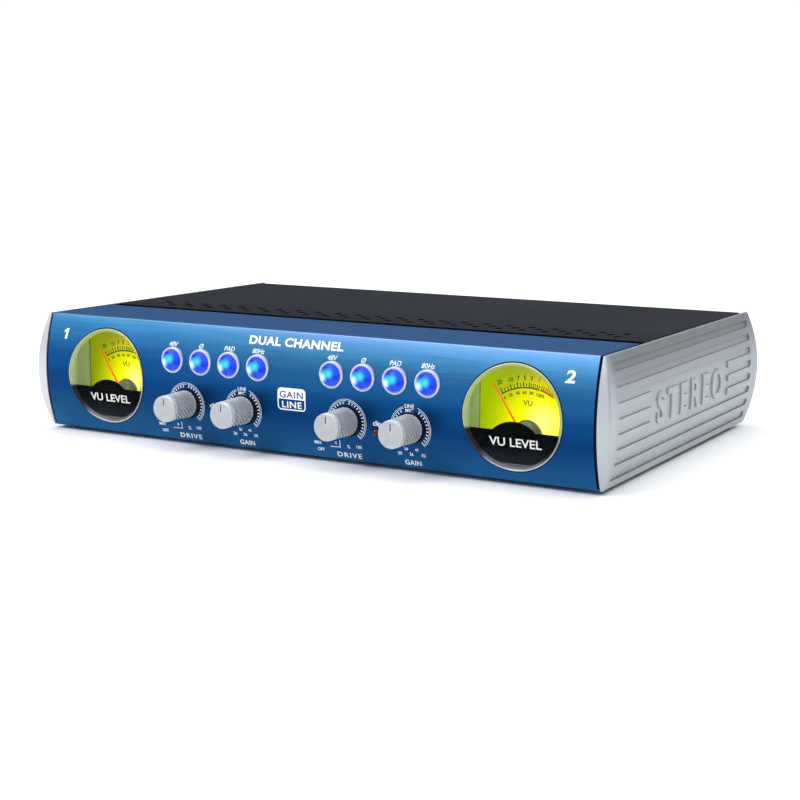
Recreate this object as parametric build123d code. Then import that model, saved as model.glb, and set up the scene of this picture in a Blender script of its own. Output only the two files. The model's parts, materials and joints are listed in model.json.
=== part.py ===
"""Two-channel tube microphone preamplifier in a one-unit-high, half-rack-wide desktop case.

Design frame, in millimetres: X runs to the right as seen from the front, Y runs back from the plane
of the front panel's top and bottom edges, Z runs up from the underside of the case.  save() moves
every piece from there into the part frame, whose origin is at the centre of the footprint, on the
surface that the feet stand on.
"""
from build123d import *
from math import sqrt, sin, cos, radians
import os

# --- overall case -----------------------------------------------------------------------------
CASE_H = 44.0            # one rack unit
PANEL_W = 228.4          # between the two end caps' gaskets
PANEL_BULGE = 4.3        # how far the front panel bows out at mid height
PANEL_WALL = 2.0
FLANGE_T = 1.5
FLANGE_DEPTH = 37.7      # how far the panel's top and bottom flanges run back
FLANGE_CORNER = 2.4
REBATE_W = 4.2           # shadow groove along the back of the top flange
REBATE_H = 0.9
SEAM = 0.4               # gap between the flange and the cover
SHEET = 1.2              # folded steel sheet
CASE_BACK = 141.6        # back edge of the cover
LIP_DEPTH = 7.0          # how far the cover folds down over the rear panel
VENT_R = 1.5
VENT_PITCH = 9.2
VENT_START = -101.2
VENT_ROWS = ((55.0, 23), (50.6, 22), (46.2, 22))   # (Y, number of holes), each row offset by half a pitch
FOOT_H = 1.5
FOOT_R = 6.0

# --- end caps ---------------------------------------------------------------------------------
GASKET_T = 1.0
GASKET_SETBACK = 0.4
CAP_EDGE_T = 1.05        # cap thickness at its top and bottom edges
CAP_SIDE_BULGE = 3.4     # how much thicker it is at mid height
CAP_BACK = 144.5
CAP_BACK_BULGE = 5.2
CAP_ROUNDING = 0.75      # on the outer edges all round
GROOVE_COUNT = 8
GROOVE_PITCH = 5.13
GROOVE_W = 2.75
GROOVE_DEPTH = 0.7
GROOVE_FRONT = 3.0
GROOVE_BACK = 140.5
POCKET_FRONT = 33.0
POCKET_BACK = 113.0

# --- controls ---------------------------------------------------------------------------------
CHANNEL_X = 34.6         # centre of each channel's controls from the middle of the case
BUTTON_PITCH = 12.7
BUTTON_Z = 30.5
BUTTON_R = 3.8
BUTTON_PROUD = 1.7         # edge of the dome, in front of the panel
BEZEL_R = 4.8
BEZEL_PROUD = 0.8
KNOB_PITCH = 25.4
KNOB_Z = 14.7
KNOB_BASE_R = 5.1
KNOB_FACE_R = 4.8
KNOB_LENGTH = 13.0
KNOB_FRONT = -17.7
SHAFT_R = 3.0
LED_R = 1.5
LED_Z = 11.8
LED_FROM_KNOB = 13.7
FRONT_BOARD_Y = 15.0
BOARD_T = 1.6

# --- meters -----------------------------------------------------------------------------------
METER_X = 85.4
METER_Z = 21.7
WINDOW_R = 18.1
METER_RIM_R = 18.7
LENS_R = 17.3
HOUSING_HALF_W = 18.7
HOUSING_HALF_H = 18.0
HOUSING_WALL = 1.0
HOUSING_BACK = 24.0
SCALE_Y = 7.9            # front face of the scale plate
PIVOT_Z = 12.5
NEEDLE_LENGTH = 22.3
NEEDLE_REST = 33.7       # degrees left of upright at rest
NEEDLE_Y = 6.5
BRIDGE_R = 5.3           # round bridge over the moving coil
BRIDGE_Z = 13.8
MASK_TOP_Z = 17.2
HUMP_R = 11.0
HUMP_TOP_Z = 20.4
MASK_BOTTOM_Z = 6.0

# --- rear connectors --------------------------------------------------------------------------
REAR_Y = 140.4           # outside face of the rear panel
JACK_Z = 19.6
JACK_BODY_R = 11.8
JACK_FLANGE_W = 26.0
JACK_FLANGE_H = 31.0
JACK_FLANGE_T = 1.6
COMBO_X = (28.0, 95.0)
XLR_X = (1.0, 68.0)
LINE_X = (-18.8, 48.2)
PLUG_R = 3.3             # bore for a 6.35 mm plug
LINE_NECK_R = 5.0
XLR_CUP_R = 8.1
XLR_CUP_FLOOR = 129.5
XLR_PIN_ANGLES = (45, 135, 270)
XLR_PIN_CIRCLE = 3.9
COMBO_RING_R = 9.4
COMBO_RING_GAP = 1.3
COMBO_PIN_CIRCLE = 5.6
LATCH_W = 8.0
INLET_X = -72.0
INLET_R = 5.5
POWER_X = -96.0
ROCKER_Z = 21.0
ROCKER_HALF_W = 4.6
ROCKER_HALF_H = 7.4
ROCKER_PIVOT_Y = REAR_Y - 0.6
ROCKER_TILT = 9.0

# --- inside -----------------------------------------------------------------------------------
MAIN_BOARD_Z = 6.0
MAIN_BOARD_FRONT = 40.0
MAIN_BOARD_BACK = 116.0
MAIN_BOARD_HALF_W = 100.0
TUBE_X = (-38.0, 10.0)
TUBE_Y = 76.0
TUBE_Z = 23.0
TUBE_R = 10.5
PIN_COUNT = 9
PIN_STEP = 36
PIN_CIRCLE = 6.0
WALL_X = PANEL_W / 2 - 2 * SHEET - 0.2          # inside face of the chassis side wall
FIT = 0.05
BIG = 400.0
CUT_X = 130.0            # beyond the outside of either end cap


def arc_radius(chord, bulge):
    """Radius of an arc that stands out by bulge over a straight chord."""
    return (chord ** 2 / 4 + bulge ** 2) / (2 * bulge)


PANEL_R = arc_radius(CASE_H, PANEL_BULGE)


def panel_y(z, inset=0.0):
    """Y of the front panel's outer face, or of a surface inset behind it, at height z."""
    radius = PANEL_R - inset
    return PANEL_R - PANEL_BULGE - sqrt(radius ** 2 - (z - CASE_H / 2) ** 2)


MID_DEPTH = (KNOB_FRONT + CAP_BACK + CAP_BACK_BULGE) / 2


def save(shape, node):
    export_step(shape.moved(Location((0, -MID_DEPTH, FOOT_H))), f"parts/{node}.step")


def box(x0, x1, y0, y1, z0, z1):
    corner = Location((x0, y0, z0))
    return corner * Box(x1 - x0, y1 - y0, z1 - z0, align=(Align.MIN, Align.MIN, Align.MIN))


def rod(x, z, y0, y1, radius):
    """A cylinder along Y from y0 to y1."""
    middle = Location((x, (y0 + y1) / 2, z), (90, 0, 0))
    return middle * Cylinder(radius, y1 - y0)


def post(x, y, z0, z1, radius):
    return Location((x, y, (z0 + z1) / 2)) * Cylinder(radius, z1 - z0)


def cross_rod(x0, x1, y, z, radius):
    """A cylinder along X from x0 to x1."""
    return Location(((x0 + x1) / 2, y, z), (0, 90, 0)) * Cylinder(radius, x1 - x0)


def turned(points, x, z):
    """Turn an outline of (radius, y) points about the Y axis through (x, z)."""
    outline = Polyline([(radius, y, 0) for radius, y in points], close=True)
    return Location((x, 0, z)) * revolve(make_face(outline), Axis.Y)


def group(pieces):
    return Compound(children=list(pieces))


def barrel(x0, x1, inset=0.0):
    """What lies, down to the barrel's middle, behind a surface set inset behind the panel's face."""
    centre_y = PANEL_R - PANEL_BULGE
    disc = cross_rod(x0, x1, centre_y, CASE_H / 2, PANEL_R - inset)
    return disc & box(x0, x1, -BIG, centre_y, -BIG, BIG)


def shell_slice(x0, x1, front, back):
    """The layer between two surfaces that lie front and back behind the panel's outer face."""
    return barrel(x0, x1, front) - barrel(x0 - 1, x1 + 1, back)


# --- where the repeated pieces sit --------------------------------------------------------------
CHANNELS = (("1", -CHANNEL_X), ("2", CHANNEL_X))
BUTTON_NAMES = ("phantom", "polarity", "pad", "low_cut")
KNOB_NAMES = ("drive", "gain")


def button_places():
    for channel, centre in CHANNELS:
        for index, name in enumerate(BUTTON_NAMES):
            yield f"{name}_button_{channel}", centre + (index - 1.5) * BUTTON_PITCH


def knob_places():
    for channel, centre in CHANNELS:
        for index, name in enumerate(KNOB_NAMES):
            yield f"{name}_knob_{channel}", centre + (index - 0.5) * KNOB_PITCH


def led_places():
    return [centre + KNOB_PITCH / 2 - LED_FROM_KNOB for _, centre in CHANNELS]


METERS = (("1", -METER_X), ("2", METER_X))
SIDES = (("left", -1), ("right", 1))
CAP_SCREW_Y = (20.0, 75.0, 128.0)
COVER_SCREW_X = (-62.0, 14.3, 81.0)
COVER_SCREW_Z = CASE_H - LIP_DEPTH / 2
BASE_SCREW_X = (-90.0, -30.0, 30.0, 90.0)
BASE_SCREW_Y = 26.0
FRONT_POST_X = (-60.0, 0.0, 60.0)
FRONT_POST_Z = 23.0
BOARD_POSTS = ((-92.0, 46.0), (92.0, 46.0), (-92.0, 102.0), (92.0, 102.0))


# --- case ---------------------------------------------------------------------------------------
def panel_profile():
    """C-shaped section of the front panel, on the YZ plane."""
    inner_z = FLANGE_T
    inner_y = panel_y(inner_z, PANEL_WALL)
    top = CASE_H - FLANGE_T
    outer = ThreePointArc((0, 0, 0), (0, -PANEL_BULGE, CASE_H / 2), (0, 0, CASE_H))
    inner = ThreePointArc((0, inner_y, top), (0, PANEL_WALL - PANEL_BULGE, CASE_H / 2), (0, inner_y, inner_z))
    upper = Polyline((0, 0, CASE_H), (0, FLANGE_DEPTH, CASE_H), (0, FLANGE_DEPTH, top), (0, inner_y, top))
    lower = Polyline((0, inner_y, inner_z), (0, FLANGE_DEPTH, inner_z), (0, FLANGE_DEPTH, 0), (0, 0, 0))
    return make_face([outer, *upper.edges(), inner, *lower.edges()])


def front_panel():
    half = PANEL_W / 2
    panel = extrude(panel_profile(), amount=half, dir=(1, 0, 0), both=True)
    front_edges = panel.edges().filter_by(Axis.X).group_by(Axis.Y)[0]
    panel = fillet(front_edges, 0.45)
    corners = panel.edges().filter_by(Axis.Z).group_by(Axis.Y)[-1]
    panel = chamfer(corners, FLANGE_CORNER)
    panel -= box(-BIG, BIG, FLANGE_DEPTH - REBATE_W, BIG, CASE_H - REBATE_H, BIG)
    for _, x in button_places():
        panel -= rod(x, BUTTON_Z, -10, 6, BEZEL_R - 0.35)
    for _, x in knob_places():
        panel -= rod(x, KNOB_Z, -10, 6, SHAFT_R + 0.6)
    for x in led_places():
        panel -= rod(x, LED_Z, -10, 6, LED_R + FIT)
    for _, x in METERS:
        panel -= rod(x, METER_Z, -10, 6, WINDOW_R)
    for x in BASE_SCREW_X:
        panel -= post(x, BASE_SCREW_Y, -1, FLANGE_T + 1, 1.6)
    return panel


def chassis_tray():
    back = REAR_Y - SHEET - 0.1
    step_y = FLANGE_DEPTH + SEAM
    tongue_z = FLANGE_T + 0.05
    wall_top = CASE_H - FLANGE_T - 0.2
    tray = box(-WALL_X - SHEET, WALL_X + SHEET, step_y, back, 0, SHEET)
    tray += box(-WALL_X - SHEET, WALL_X + SHEET, step_y, step_y + SHEET, 0, tongue_z + SHEET)
    tray += box(-WALL_X - SHEET, WALL_X + SHEET, 8, step_y + SHEET, tongue_z, tongue_z + SHEET)
    for x in (-WALL_X - SHEET, WALL_X):
        tray += box(x, x + SHEET, 8, back, tongue_z, wall_top)
    for x in BASE_SCREW_X:
        tray -= post(x, BASE_SCREW_Y, 0, 5, 1.25)
    for _, side in SIDES:
        for y in CAP_SCREW_Y:
            reach = sorted((side * (WALL_X - 1), side * (WALL_X + 2)))
            tray -= cross_rod(*reach, y, CASE_H / 2, 1.6)
    for x, y in BOARD_POSTS:
        tray -= post(x, y, -1, 3, 1.6)
    return tray


def top_cover():
    """Folded cover: top sheet, two side skirts and a narrow lip down the back."""
    half = PANEL_W / 2
    front = FLANGE_DEPTH + SEAM
    cover = box(-half, half, front, CASE_BACK, CASE_H - SHEET, CASE_H)
    for x in (-half, half - SHEET):
        cover += box(x, x + SHEET, front, REAR_Y - 0.1, SHEET, CASE_H)
    cover += box(-half, half, REAR_Y, CASE_BACK, CASE_H - LIP_DEPTH, CASE_H)
    cover = fillet(cover.edges().filter_by(Axis.Y).group_by(Axis.Z)[-1], 0.6)
    cover = fillet(cover.edges().filter_by(Axis.X).group_by(Axis.Z)[-1].group_by(Axis.Y)[-1], 0.8)
    for x, y in vent_places():
        cover -= post(x, y, CASE_H - 3, CASE_H + 1, VENT_R)
    for x in COVER_SCREW_X:
        cover -= rod(x, COVER_SCREW_Z, REAR_Y - 2, CASE_BACK + 1, 1.6)
    for _, side in SIDES:
        for y in CAP_SCREW_Y[1:]:
            reach = sorted((side * (half - 3), side * (half + 1)))
            cover -= cross_rod(*reach, y, CASE_H / 2, 1.6)
    return cover


def vent_places():
    """Three staggered rows of small holes just behind the cover's front edge."""
    for row, (y, columns) in enumerate(VENT_ROWS):
        for column in range(columns):
            yield VENT_START + column * VENT_PITCH + row * VENT_PITCH / 2, y


def rear_panel():
    inside = WALL_X - 0.1
    panel = box(-inside, inside, REAR_Y - SHEET, REAR_Y, SHEET + 0.05, CASE_H - SHEET - 0.1)
    for x in (*COMBO_X, *XLR_X):
        panel -= rod(x, JACK_Z, REAR_Y - 5, REAR_Y + 5, JACK_BODY_R + 0.1)
    for x in LINE_X:
        panel -= rod(x, JACK_Z, REAR_Y - 5, REAR_Y + 5, LINE_NECK_R + FIT)
    for x in COMBO_X:
        latch_z = JACK_Z + JACK_BODY_R
        half = LATCH_W / 2 + 0.3
        panel -= box(x - half, x + half, REAR_Y - 5, REAR_Y + 5, latch_z - 0.5, latch_z + 3.3)
    panel -= rod(INLET_X, JACK_Z, REAR_Y - 5, REAR_Y + 5, INLET_R + FIT)
    panel -= box(POWER_X - 6.6, POWER_X + 6.6, REAR_Y - 5, REAR_Y + 5, ROCKER_Z - 9.6, ROCKER_Z + 9.6)
    for x in COVER_SCREW_X:
        panel -= rod(x, COVER_SCREW_Z, REAR_Y - 5, REAR_Y + 5, 1.25)
    for x, z in jack_screw_places():
        panel -= rod(x, z, REAR_Y - 5, REAR_Y + 5, 1.25)
    return panel


def cap_outline():
    """Side view of an end cap: flat top and bottom, bowed front and back."""
    front = ThreePointArc((0, 0, 0), (0, -PANEL_BULGE, CASE_H / 2), (0, 0, CASE_H))
    back_middle = (0, CAP_BACK + CAP_BACK_BULGE, CASE_H / 2)
    back = ThreePointArc((0, CAP_BACK, CASE_H), back_middle, (0, CAP_BACK, 0))
    top = Line((0, 0, CASE_H), (0, CAP_BACK, CASE_H))
    bottom = Line((0, CAP_BACK, 0), (0, 0, 0))
    return make_face([front, top, back, bottom])


def groove(y0, y1, z, x_floor):
    """A slot with round ends, cut from outside down to x_floor."""
    half = GROOVE_W / 2
    slot = box(x_floor, CUT_X, y0 + half, y1 - half, z - half, z + half)
    for y in (y0 + half, y1 - half):
        slot += cross_rod(x_floor, CUT_X, y, z, half)
    return slot


def end_cap():
    """The right-hand cap.  Its outside is bowed, with long shallow grooves and a plain pocket."""
    inside = PANEL_W / 2 + GASKET_T
    thick = CAP_EDGE_T + CAP_SIDE_BULGE
    radius = arc_radius(CASE_H, CAP_SIDE_BULGE)
    blank = Location((inside, 0, 0)) * extrude(cap_outline(), amount=thick, dir=(1, 0, 0))
    bow = rod(inside + thick - radius, CASE_H / 2, -BIG, BIG, radius)
    cap = blank & bow
    cap = fillet(cap.faces().sort_by(Axis.X)[-1].edges(), CAP_ROUNDING)
    middle = CASE_H / 2
    floor_bow = rod(inside + thick - radius, middle, -BIG, BIG, radius - GROOVE_DEPTH)
    pocket_half = 1.5 * GROOVE_PITCH + GROOVE_W / 2
    recess = box(inside, CUT_X, POCKET_FRONT, POCKET_BACK, middle - pocket_half, middle + pocket_half)
    for index in range(GROOVE_COUNT):
        z = middle + (index - (GROOVE_COUNT - 1) / 2) * GROOVE_PITCH
        recess += groove(GROOVE_FRONT, GROOVE_BACK, z, inside)
    cap -= recess - floor_bow
    for y in CAP_SCREW_Y:
        cap -= cross_rod(inside - 1, inside + 2.2, y, middle, 1.25)
    return cap


def side_gasket():
    """Thin black seal between the case and the right-hand cap, set back all round."""
    sheet = extrude(cap_outline(), amount=GASKET_T - 2 * FIT, dir=(1, 0, 0))
    sheet = Location((PANEL_W / 2 + FIT, 0, 0)) * sheet
    front = barrel(0, BIG, 0.5) & box(0, BIG, -BIG, FLANGE_DEPTH, GASKET_SETBACK, CASE_H - GASKET_SETBACK)
    keep = front + box(0, BIG, FLANGE_DEPTH, CASE_BACK, GASKET_SETBACK, CASE_H - GASKET_SETBACK)
    sheet = sheet & keep
    for y in CAP_SCREW_Y:
        sheet -= cross_rod(0, BIG, y, CASE_H / 2, 1.6)
    return sheet


def left_of(shape):
    return mirror(shape, Plane.YZ)


def pan_screw(head_r, head_h, shank_r, length):
    """A pan-head screw along +Z with its head below the XY plane and a cross recess."""
    head = Location((0, 0, -head_h / 2)) * Cylinder(head_r, head_h)
    head = chamfer(head.edges().group_by(Axis.Z)[0], head_h * 0.35)
    recess = Location((0, 0, -head_h)) * Box(head_r * 1.1, 0.6, head_h)
    recess += Location((0, 0, -head_h)) * Box(0.6, head_r * 1.1, head_h)
    return head - recess + Location((0, 0, length / 2)) * Cylinder(shank_r, length)


def case_screws():
    """Screws from inside the chassis walls into the end caps, and up through the panel's lower flange."""
    screws = []
    for x in BASE_SCREW_X:
        screws.append(Location((x, BASE_SCREW_Y, 0)) * pan_screw(2.8, 1.2, 1.2, 5.0))
    for _, side in SIDES:
        for y in CAP_SCREW_Y:
            place = Location((side * WALL_X, y, CASE_H / 2), (0, 90 * side, 0))
            screws.append(place * pan_screw(2.8, 1.8, 1.2, PANEL_W / 2 + GASKET_T + 2.0 - WALL_X))
    return group(screws)


def rear_screws():
    """Pan-head screws on the back: three hold the cover's lip, the rest hold the connectors."""
    screws = []
    for x in COVER_SCREW_X:
        place = Location((x, CASE_BACK, COVER_SCREW_Z), (90, 0, 0))
        screws.append(place * pan_screw(2.6, 1.6, 1.2, 5.0))
    for x, z in jack_screw_places():
        place = Location((x, REAR_Y + JACK_FLANGE_T, z), (90, 0, 0))
        screws.append(place * pan_screw(2.5, 1.3, 1.2, 6.0))
    return group(screws)


def rubber_feet():
    feet = []
    for x in (-98.0, 98.0):
        for y in (16.0, 126.0):
            foot = post(x, y, -FOOT_H, -FIT / 2, FOOT_R)
            feet.append(chamfer(foot.edges().group_by(Axis.Z)[0], 0.5))
    return group(feet)


# --- front controls -----------------------------------------------------------------------------
def button_bezels():
    """Plated rings, each seated on the bowed panel and reaching through it."""
    rings = []
    for _, x in button_places():
        front = panel_y(BUTTON_Z) - BEZEL_PROUD
        flange = rod(x, BUTTON_Z, front, 3, BEZEL_R)
        flange = chamfer(flange.edges().group_by(Axis.Y)[0], 0.3)
        flange -= barrel(x - 10, x + 10, -0.03)
        sleeve = rod(x, BUTTON_Z, front + 0.1, 1.5, BEZEL_R - 0.4)
        rings.append(flange + sleeve - rod(x, BUTTON_Z, -20, 20, BUTTON_R + 0.15))
    return group(rings)


def push_button(x):
    """Domed light-pipe cap with a square stem that runs into its switch."""
    face = panel_y(BUTTON_Z) - BUTTON_PROUD
    dome_h = 0.95
    dome_r = (BUTTON_R ** 2 + dome_h ** 2) / (2 * dome_h)
    cap = rod(x, BUTTON_Z, face - dome_h, 0.5, BUTTON_R)
    cap = cap & (Location((x, face - dome_h + dome_r, BUTTON_Z)) * Sphere(dome_r))
    return cap + box(x - 1.5, x + 1.5, 0, 10.0, BUTTON_Z - 1.5, BUTTON_Z + 1.5)


def switch_bodies():
    bodies = []
    for _, x in button_places():
        body = box(x - 4, x + 4, 8.0, FRONT_BOARD_Y - FIT, BUTTON_Z - 4, BUTTON_Z + 4)
        body = chamfer(body.edges().filter_by(Axis.Y), 0.6)
        bodies.append(body - box(x - 1.7, x + 1.7, 7, 13.0, BUTTON_Z - 1.7, BUTTON_Z + 1.7))
    return group(bodies)


def knob(x):
    """Slightly tapered knob with a smooth collar, a chamfered face and a pointer groove."""
    base = KNOB_FRONT + KNOB_LENGTH
    collar = KNOB_FRONT + 2.2
    outline = [
        (0, KNOB_FRONT),
        (KNOB_FACE_R - 0.6, KNOB_FRONT),
        (KNOB_FACE_R, KNOB_FRONT + 0.6),
        (KNOB_FACE_R + 0.05, collar),
        (KNOB_FACE_R - 0.2, collar + 0.25),
        (KNOB_FACE_R + 0.1, collar + 0.5),
        (KNOB_BASE_R, base - 0.3),
        (KNOB_BASE_R - 0.3, base),
        (0, base),
    ]
    body = turned(outline, x, KNOB_Z)
    body -= rod(x, KNOB_Z, KNOB_FRONT + 2.5, 0, SHAFT_R)
    body -= rod(x, KNOB_Z, base - 1.5, 0, SHAFT_R + 1.0)
    return body - box(x - 0.2, x + 0.2, -BIG, KNOB_FRONT + 0.3, KNOB_Z + 1.2, KNOB_Z + 3.6)


def knob_shaft(x):
    shaft = rod(x, KNOB_Z, KNOB_FRONT + 2.6, 11.0, SHAFT_R - 0.02)
    return shaft - box(x - 5, x + 5, KNOB_FRONT, KNOB_FRONT + 10, KNOB_Z - 5, KNOB_Z - 2.2)


def potentiometers():
    pots = []
    for _, x in knob_places():
        body = box(x - 4.9, x + 4.9, 7.0, FRONT_BOARD_Y - FIT, KNOB_Z - 5.5, KNOB_Z + 5.2)
        body = chamfer(body.edges().filter_by(Axis.Y), 1.2)
        body += rod(x, KNOB_Z, 1.0, 7.5, 3.9)
        pots.append(body - rod(x, KNOB_Z, 0, 11.4, SHAFT_R + 0.04))
    return group(pots)


def clip_leds():
    """Small round indicators with their legs, one beside each gain knob."""
    leds = []
    for x in led_places():
        front = panel_y(LED_Z) - 0.3
        lamp = rod(x, LED_Z, front, 3.5, LED_R)
        lamp += Location((x, front, LED_Z)) * Sphere(LED_R)
        for leg in (-0.9, 0.9):
            lamp += box(x + leg - 0.25, x + leg + 0.25, 3, FRONT_BOARD_Y - FIT, LED_Z - 0.25, LED_Z + 0.25)
        leds.append(lamp)
    return group(leds)


def front_board():
    board = box(-64, 64, FRONT_BOARD_Y, FRONT_BOARD_Y + BOARD_T, 4.5, 40.5)
    for x in FRONT_POST_X:
        board -= rod(x, FRONT_POST_Z, 0, 20, 1.6)
    return board


def front_spacers():
    """Threaded spacers between the panel and the front board, each with its screw."""
    spacers = []
    for x in FRONT_POST_X:
        start = panel_y(FRONT_POST_Z, PANEL_WALL) + FIT
        spacers.append(rod(x, FRONT_POST_Z, start, FRONT_BOARD_Y - FIT / 2, 2.6))
        place = Location((x, FRONT_BOARD_Y + BOARD_T + FIT, FRONT_POST_Z), (90, 0, 0))
        screw = place * pan_screw(2.6, 1.6, 1.2, 6.0)
        spacers[-1] -= rod(x, FRONT_POST_Z, 6, 20, 1.25)
        spacers.append(screw)
    return group(spacers)


# --- meters -------------------------------------------------------------------------------------
def meter_rim(x):
    """Thin plated ring that follows the bowed panel around the window."""
    ring = rod(x, METER_Z, -20, 20, METER_RIM_R) & shell_slice(x - 30, x + 30, -0.6, -0.03)
    ring += rod(x, METER_Z, -20, 20, WINDOW_R - FIT) & shell_slice(x - 30, x + 30, -0.4, 2.0)
    return ring - rod(x, METER_Z, -20, 20, LENS_R + FIT)


def meter_lens(x):
    """Clear window, a little proud of the panel and bowed with it."""
    return rod(x, METER_Z, -20, 20, LENS_R) & shell_slice(x - 30, x + 30, -0.35, 1.0)


def meter_mask(x):
    """Opaque lower part of the window, with a low hump in the middle of its top edge."""
    plate = rod(x, METER_Z, -20, 20, LENS_R - 0.1) & shell_slice(x - 30, x + 30, 1.1, 1.6)
    hump = rod(x, HUMP_TOP_Z - HUMP_R, -20, 20, HUMP_R)
    mask = plate & (box(x - 30, x + 30, -20, 20, 0, MASK_TOP_Z) + hump)
    return mask - box(x - 30, x + 30, -20, 20, 0, MASK_BOTTOM_Z)


def meter_housing(x):
    """Open-fronted plastic box that the scale and the movement sit in."""
    low = METER_Z - HOUSING_HALF_H
    high = METER_Z + HOUSING_HALF_H
    half = HOUSING_HALF_W
    wall = HOUSING_WALL
    body = box(x - half, x + half, -20, HOUSING_BACK, low, high) & barrel(x - 30, x + 30, PANEL_WALL + 0.1)
    return body - box(x - half + wall, x + half - wall, -20, HOUSING_BACK - 1.5, low + wall, high - wall)


def meter_scale(x):
    inside = HOUSING_HALF_W - HOUSING_WALL - FIT
    rise = HOUSING_HALF_H - HOUSING_WALL - FIT
    plate = box(x - inside, x + inside, SCALE_Y, SCALE_Y + 0.8, METER_Z - rise, METER_Z + rise)
    return plate - rod(x, BRIDGE_Z, 0, 20, BRIDGE_R + 0.3)


def meter_movement(x):
    """Magnet and frame behind the scale, with the round bridge that fills the scale's opening."""
    frame = rod(x, PIVOT_Z + 2, SCALE_Y + 1.0, HOUSING_BACK - 1.6, 7.5)
    frame += box(x - 12, x + 12, SCALE_Y + 1.0, SCALE_Y + 4.0, 8.0, 21.0)
    frame += rod(x, BRIDGE_Z, NEEDLE_Y + 1.0, SCALE_Y + 1.5, BRIDGE_R)
    return frame - rod(x, PIVOT_Z, 0, SCALE_Y + 8, 0.45)


def meter_needle(x):
    """Tapered pointer with a tail weight, on a thin staff that runs in the movement."""
    tip = 0.18
    root = 0.34
    y0 = NEEDLE_Y
    y1 = NEEDLE_Y + 0.4
    outline = [
        (-root, y0, -5.5),
        (root, y0, -5.5),
        (root, y0, 0),
        (tip, y0, NEEDLE_LENGTH),
        (-tip, y0, NEEDLE_LENGTH),
        (-root, y0, 0),
    ]
    blade = extrude(make_face(Polyline(outline, close=True)), amount=0.4, dir=(0, 1, 0))
    weight = box(-1.0, 1.0, y0, y1, -5.5, -3.2)
    hub = rod(0, 0, y0 - 0.6, y1 + 0.2, 1.5)
    staff = rod(0, 0, y1, SCALE_Y + 7, 0.4)
    needle = blade + weight + hub + staff
    return Location((x, 0, PIVOT_Z), (0, -NEEDLE_REST, 0)) * needle


# --- rear connectors ----------------------------------------------------------------------------
def jack_screw_places():
    for x in (*COMBO_X, *XLR_X):
        yield x - 9.5, JACK_Z + 12.0
        yield x + 9.5, JACK_Z - 12.0


def jack_flange(x):
    half_w = JACK_FLANGE_W / 2
    half_h = JACK_FLANGE_H / 2
    back = REAR_Y + JACK_FLANGE_T
    plate = box(x - half_w, x + half_w, REAR_Y + FIT / 2, back, JACK_Z - half_h, JACK_Z + half_h)
    plate = fillet(plate.edges().filter_by(Axis.Y), 2.0)
    for dx, dz in ((-9.5, 12.0), (9.5, -12.0)):
        plate -= rod(x + dx, JACK_Z + dz, REAR_Y - 1, back + 1, 1.6)
    return plate


def xlr_output(x):
    """Male three-pin connector: a round cup with three pins standing on its floor."""
    shell = jack_flange(x) + rod(x, JACK_Z, 121.0, REAR_Y + 1, JACK_BODY_R)
    shell -= rod(x, JACK_Z, XLR_CUP_FLOOR, BIG, XLR_CUP_R)
    for angle in XLR_PIN_ANGLES:
        pin_x = x + XLR_PIN_CIRCLE * cos(radians(angle))
        pin_z = JACK_Z + XLR_PIN_CIRCLE * sin(radians(angle))
        pin = rod(pin_x, pin_z, XLR_CUP_FLOOR - 1, REAR_Y - 0.5, 1.2)
        shell += chamfer(pin.edges().group_by(Axis.Y)[-1], 0.5)
    return shell


def combo_jack(x):
    """Female three-pin socket with a 6.35 mm jack through its middle and a latch slot on top."""
    back = REAR_Y + JACK_FLANGE_T
    shell = jack_flange(x) + rod(x, JACK_Z, 108.0, back, JACK_BODY_R)
    ring = rod(x, JACK_Z, 126.0, BIG, COMBO_RING_R) - rod(x, JACK_Z, 120, BIG, COMBO_RING_R - COMBO_RING_GAP)
    shell -= ring
    shell -= rod(x, JACK_Z, 110.0, BIG, PLUG_R)
    for angle in XLR_PIN_ANGLES:
        hole_x = x - COMBO_PIN_CIRCLE * cos(radians(angle))
        hole_z = JACK_Z + COMBO_PIN_CIRCLE * sin(radians(angle))
        shell -= rod(hole_x, hole_z, 126.0, BIG, 1.3)
    latch_z = JACK_Z + JACK_BODY_R
    slot_low = latch_z - 0.1
    slot = box(x - LATCH_W / 2 - 0.2, x + LATCH_W / 2 + 0.2, REAR_Y - 4, BIG, slot_low, latch_z + 3.3)
    return shell - slot


def combo_latch(x):
    """The release tab above a combo socket, which is pushed in."""
    low = JACK_Z + JACK_BODY_R + 0.1
    tab = box(x - LATCH_W / 2, x + LATCH_W / 2, REAR_Y + 0.3, REAR_Y + 3.2, low, low + 2.9)
    return fillet(tab.edges().group_by(Axis.Y)[-1], 0.5)


def line_jacks():
    """Two balanced 6.35 mm output jacks with their round nuts."""
    jacks = []
    for x in LINE_X:
        jack = box(x - 6.4, x + 6.4, 112.0, REAR_Y - SHEET - FIT, JACK_Z - 6.8, JACK_Z + 6.8)
        jack += rod(x, JACK_Z, 130.0, REAR_Y + 3.4, LINE_NECK_R)
        nut = rod(x, JACK_Z, REAR_Y + FIT / 2, REAR_Y + 2.2, 6.4)
        nut = chamfer(nut.edges().group_by(Axis.Y)[-1], 0.5)
        jacks.append(jack + nut - rod(x, JACK_Z, 114.0, BIG, PLUG_R))
    return group(jacks)


def power_inlet():
    """Low-voltage barrel inlet with its centre pin."""
    inlet = box(INLET_X - 7, INLET_X + 7, 126.0, REAR_Y - SHEET - FIT, JACK_Z - 7, JACK_Z + 7)
    inlet += rod(INLET_X, JACK_Z, 130.0, REAR_Y + 1.6, INLET_R)
    inlet -= rod(INLET_X, JACK_Z, 130.5, BIG, 3.2)
    return inlet + rod(INLET_X, JACK_Z, 129.5, REAR_Y + 0.6, 1.05)


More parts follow.
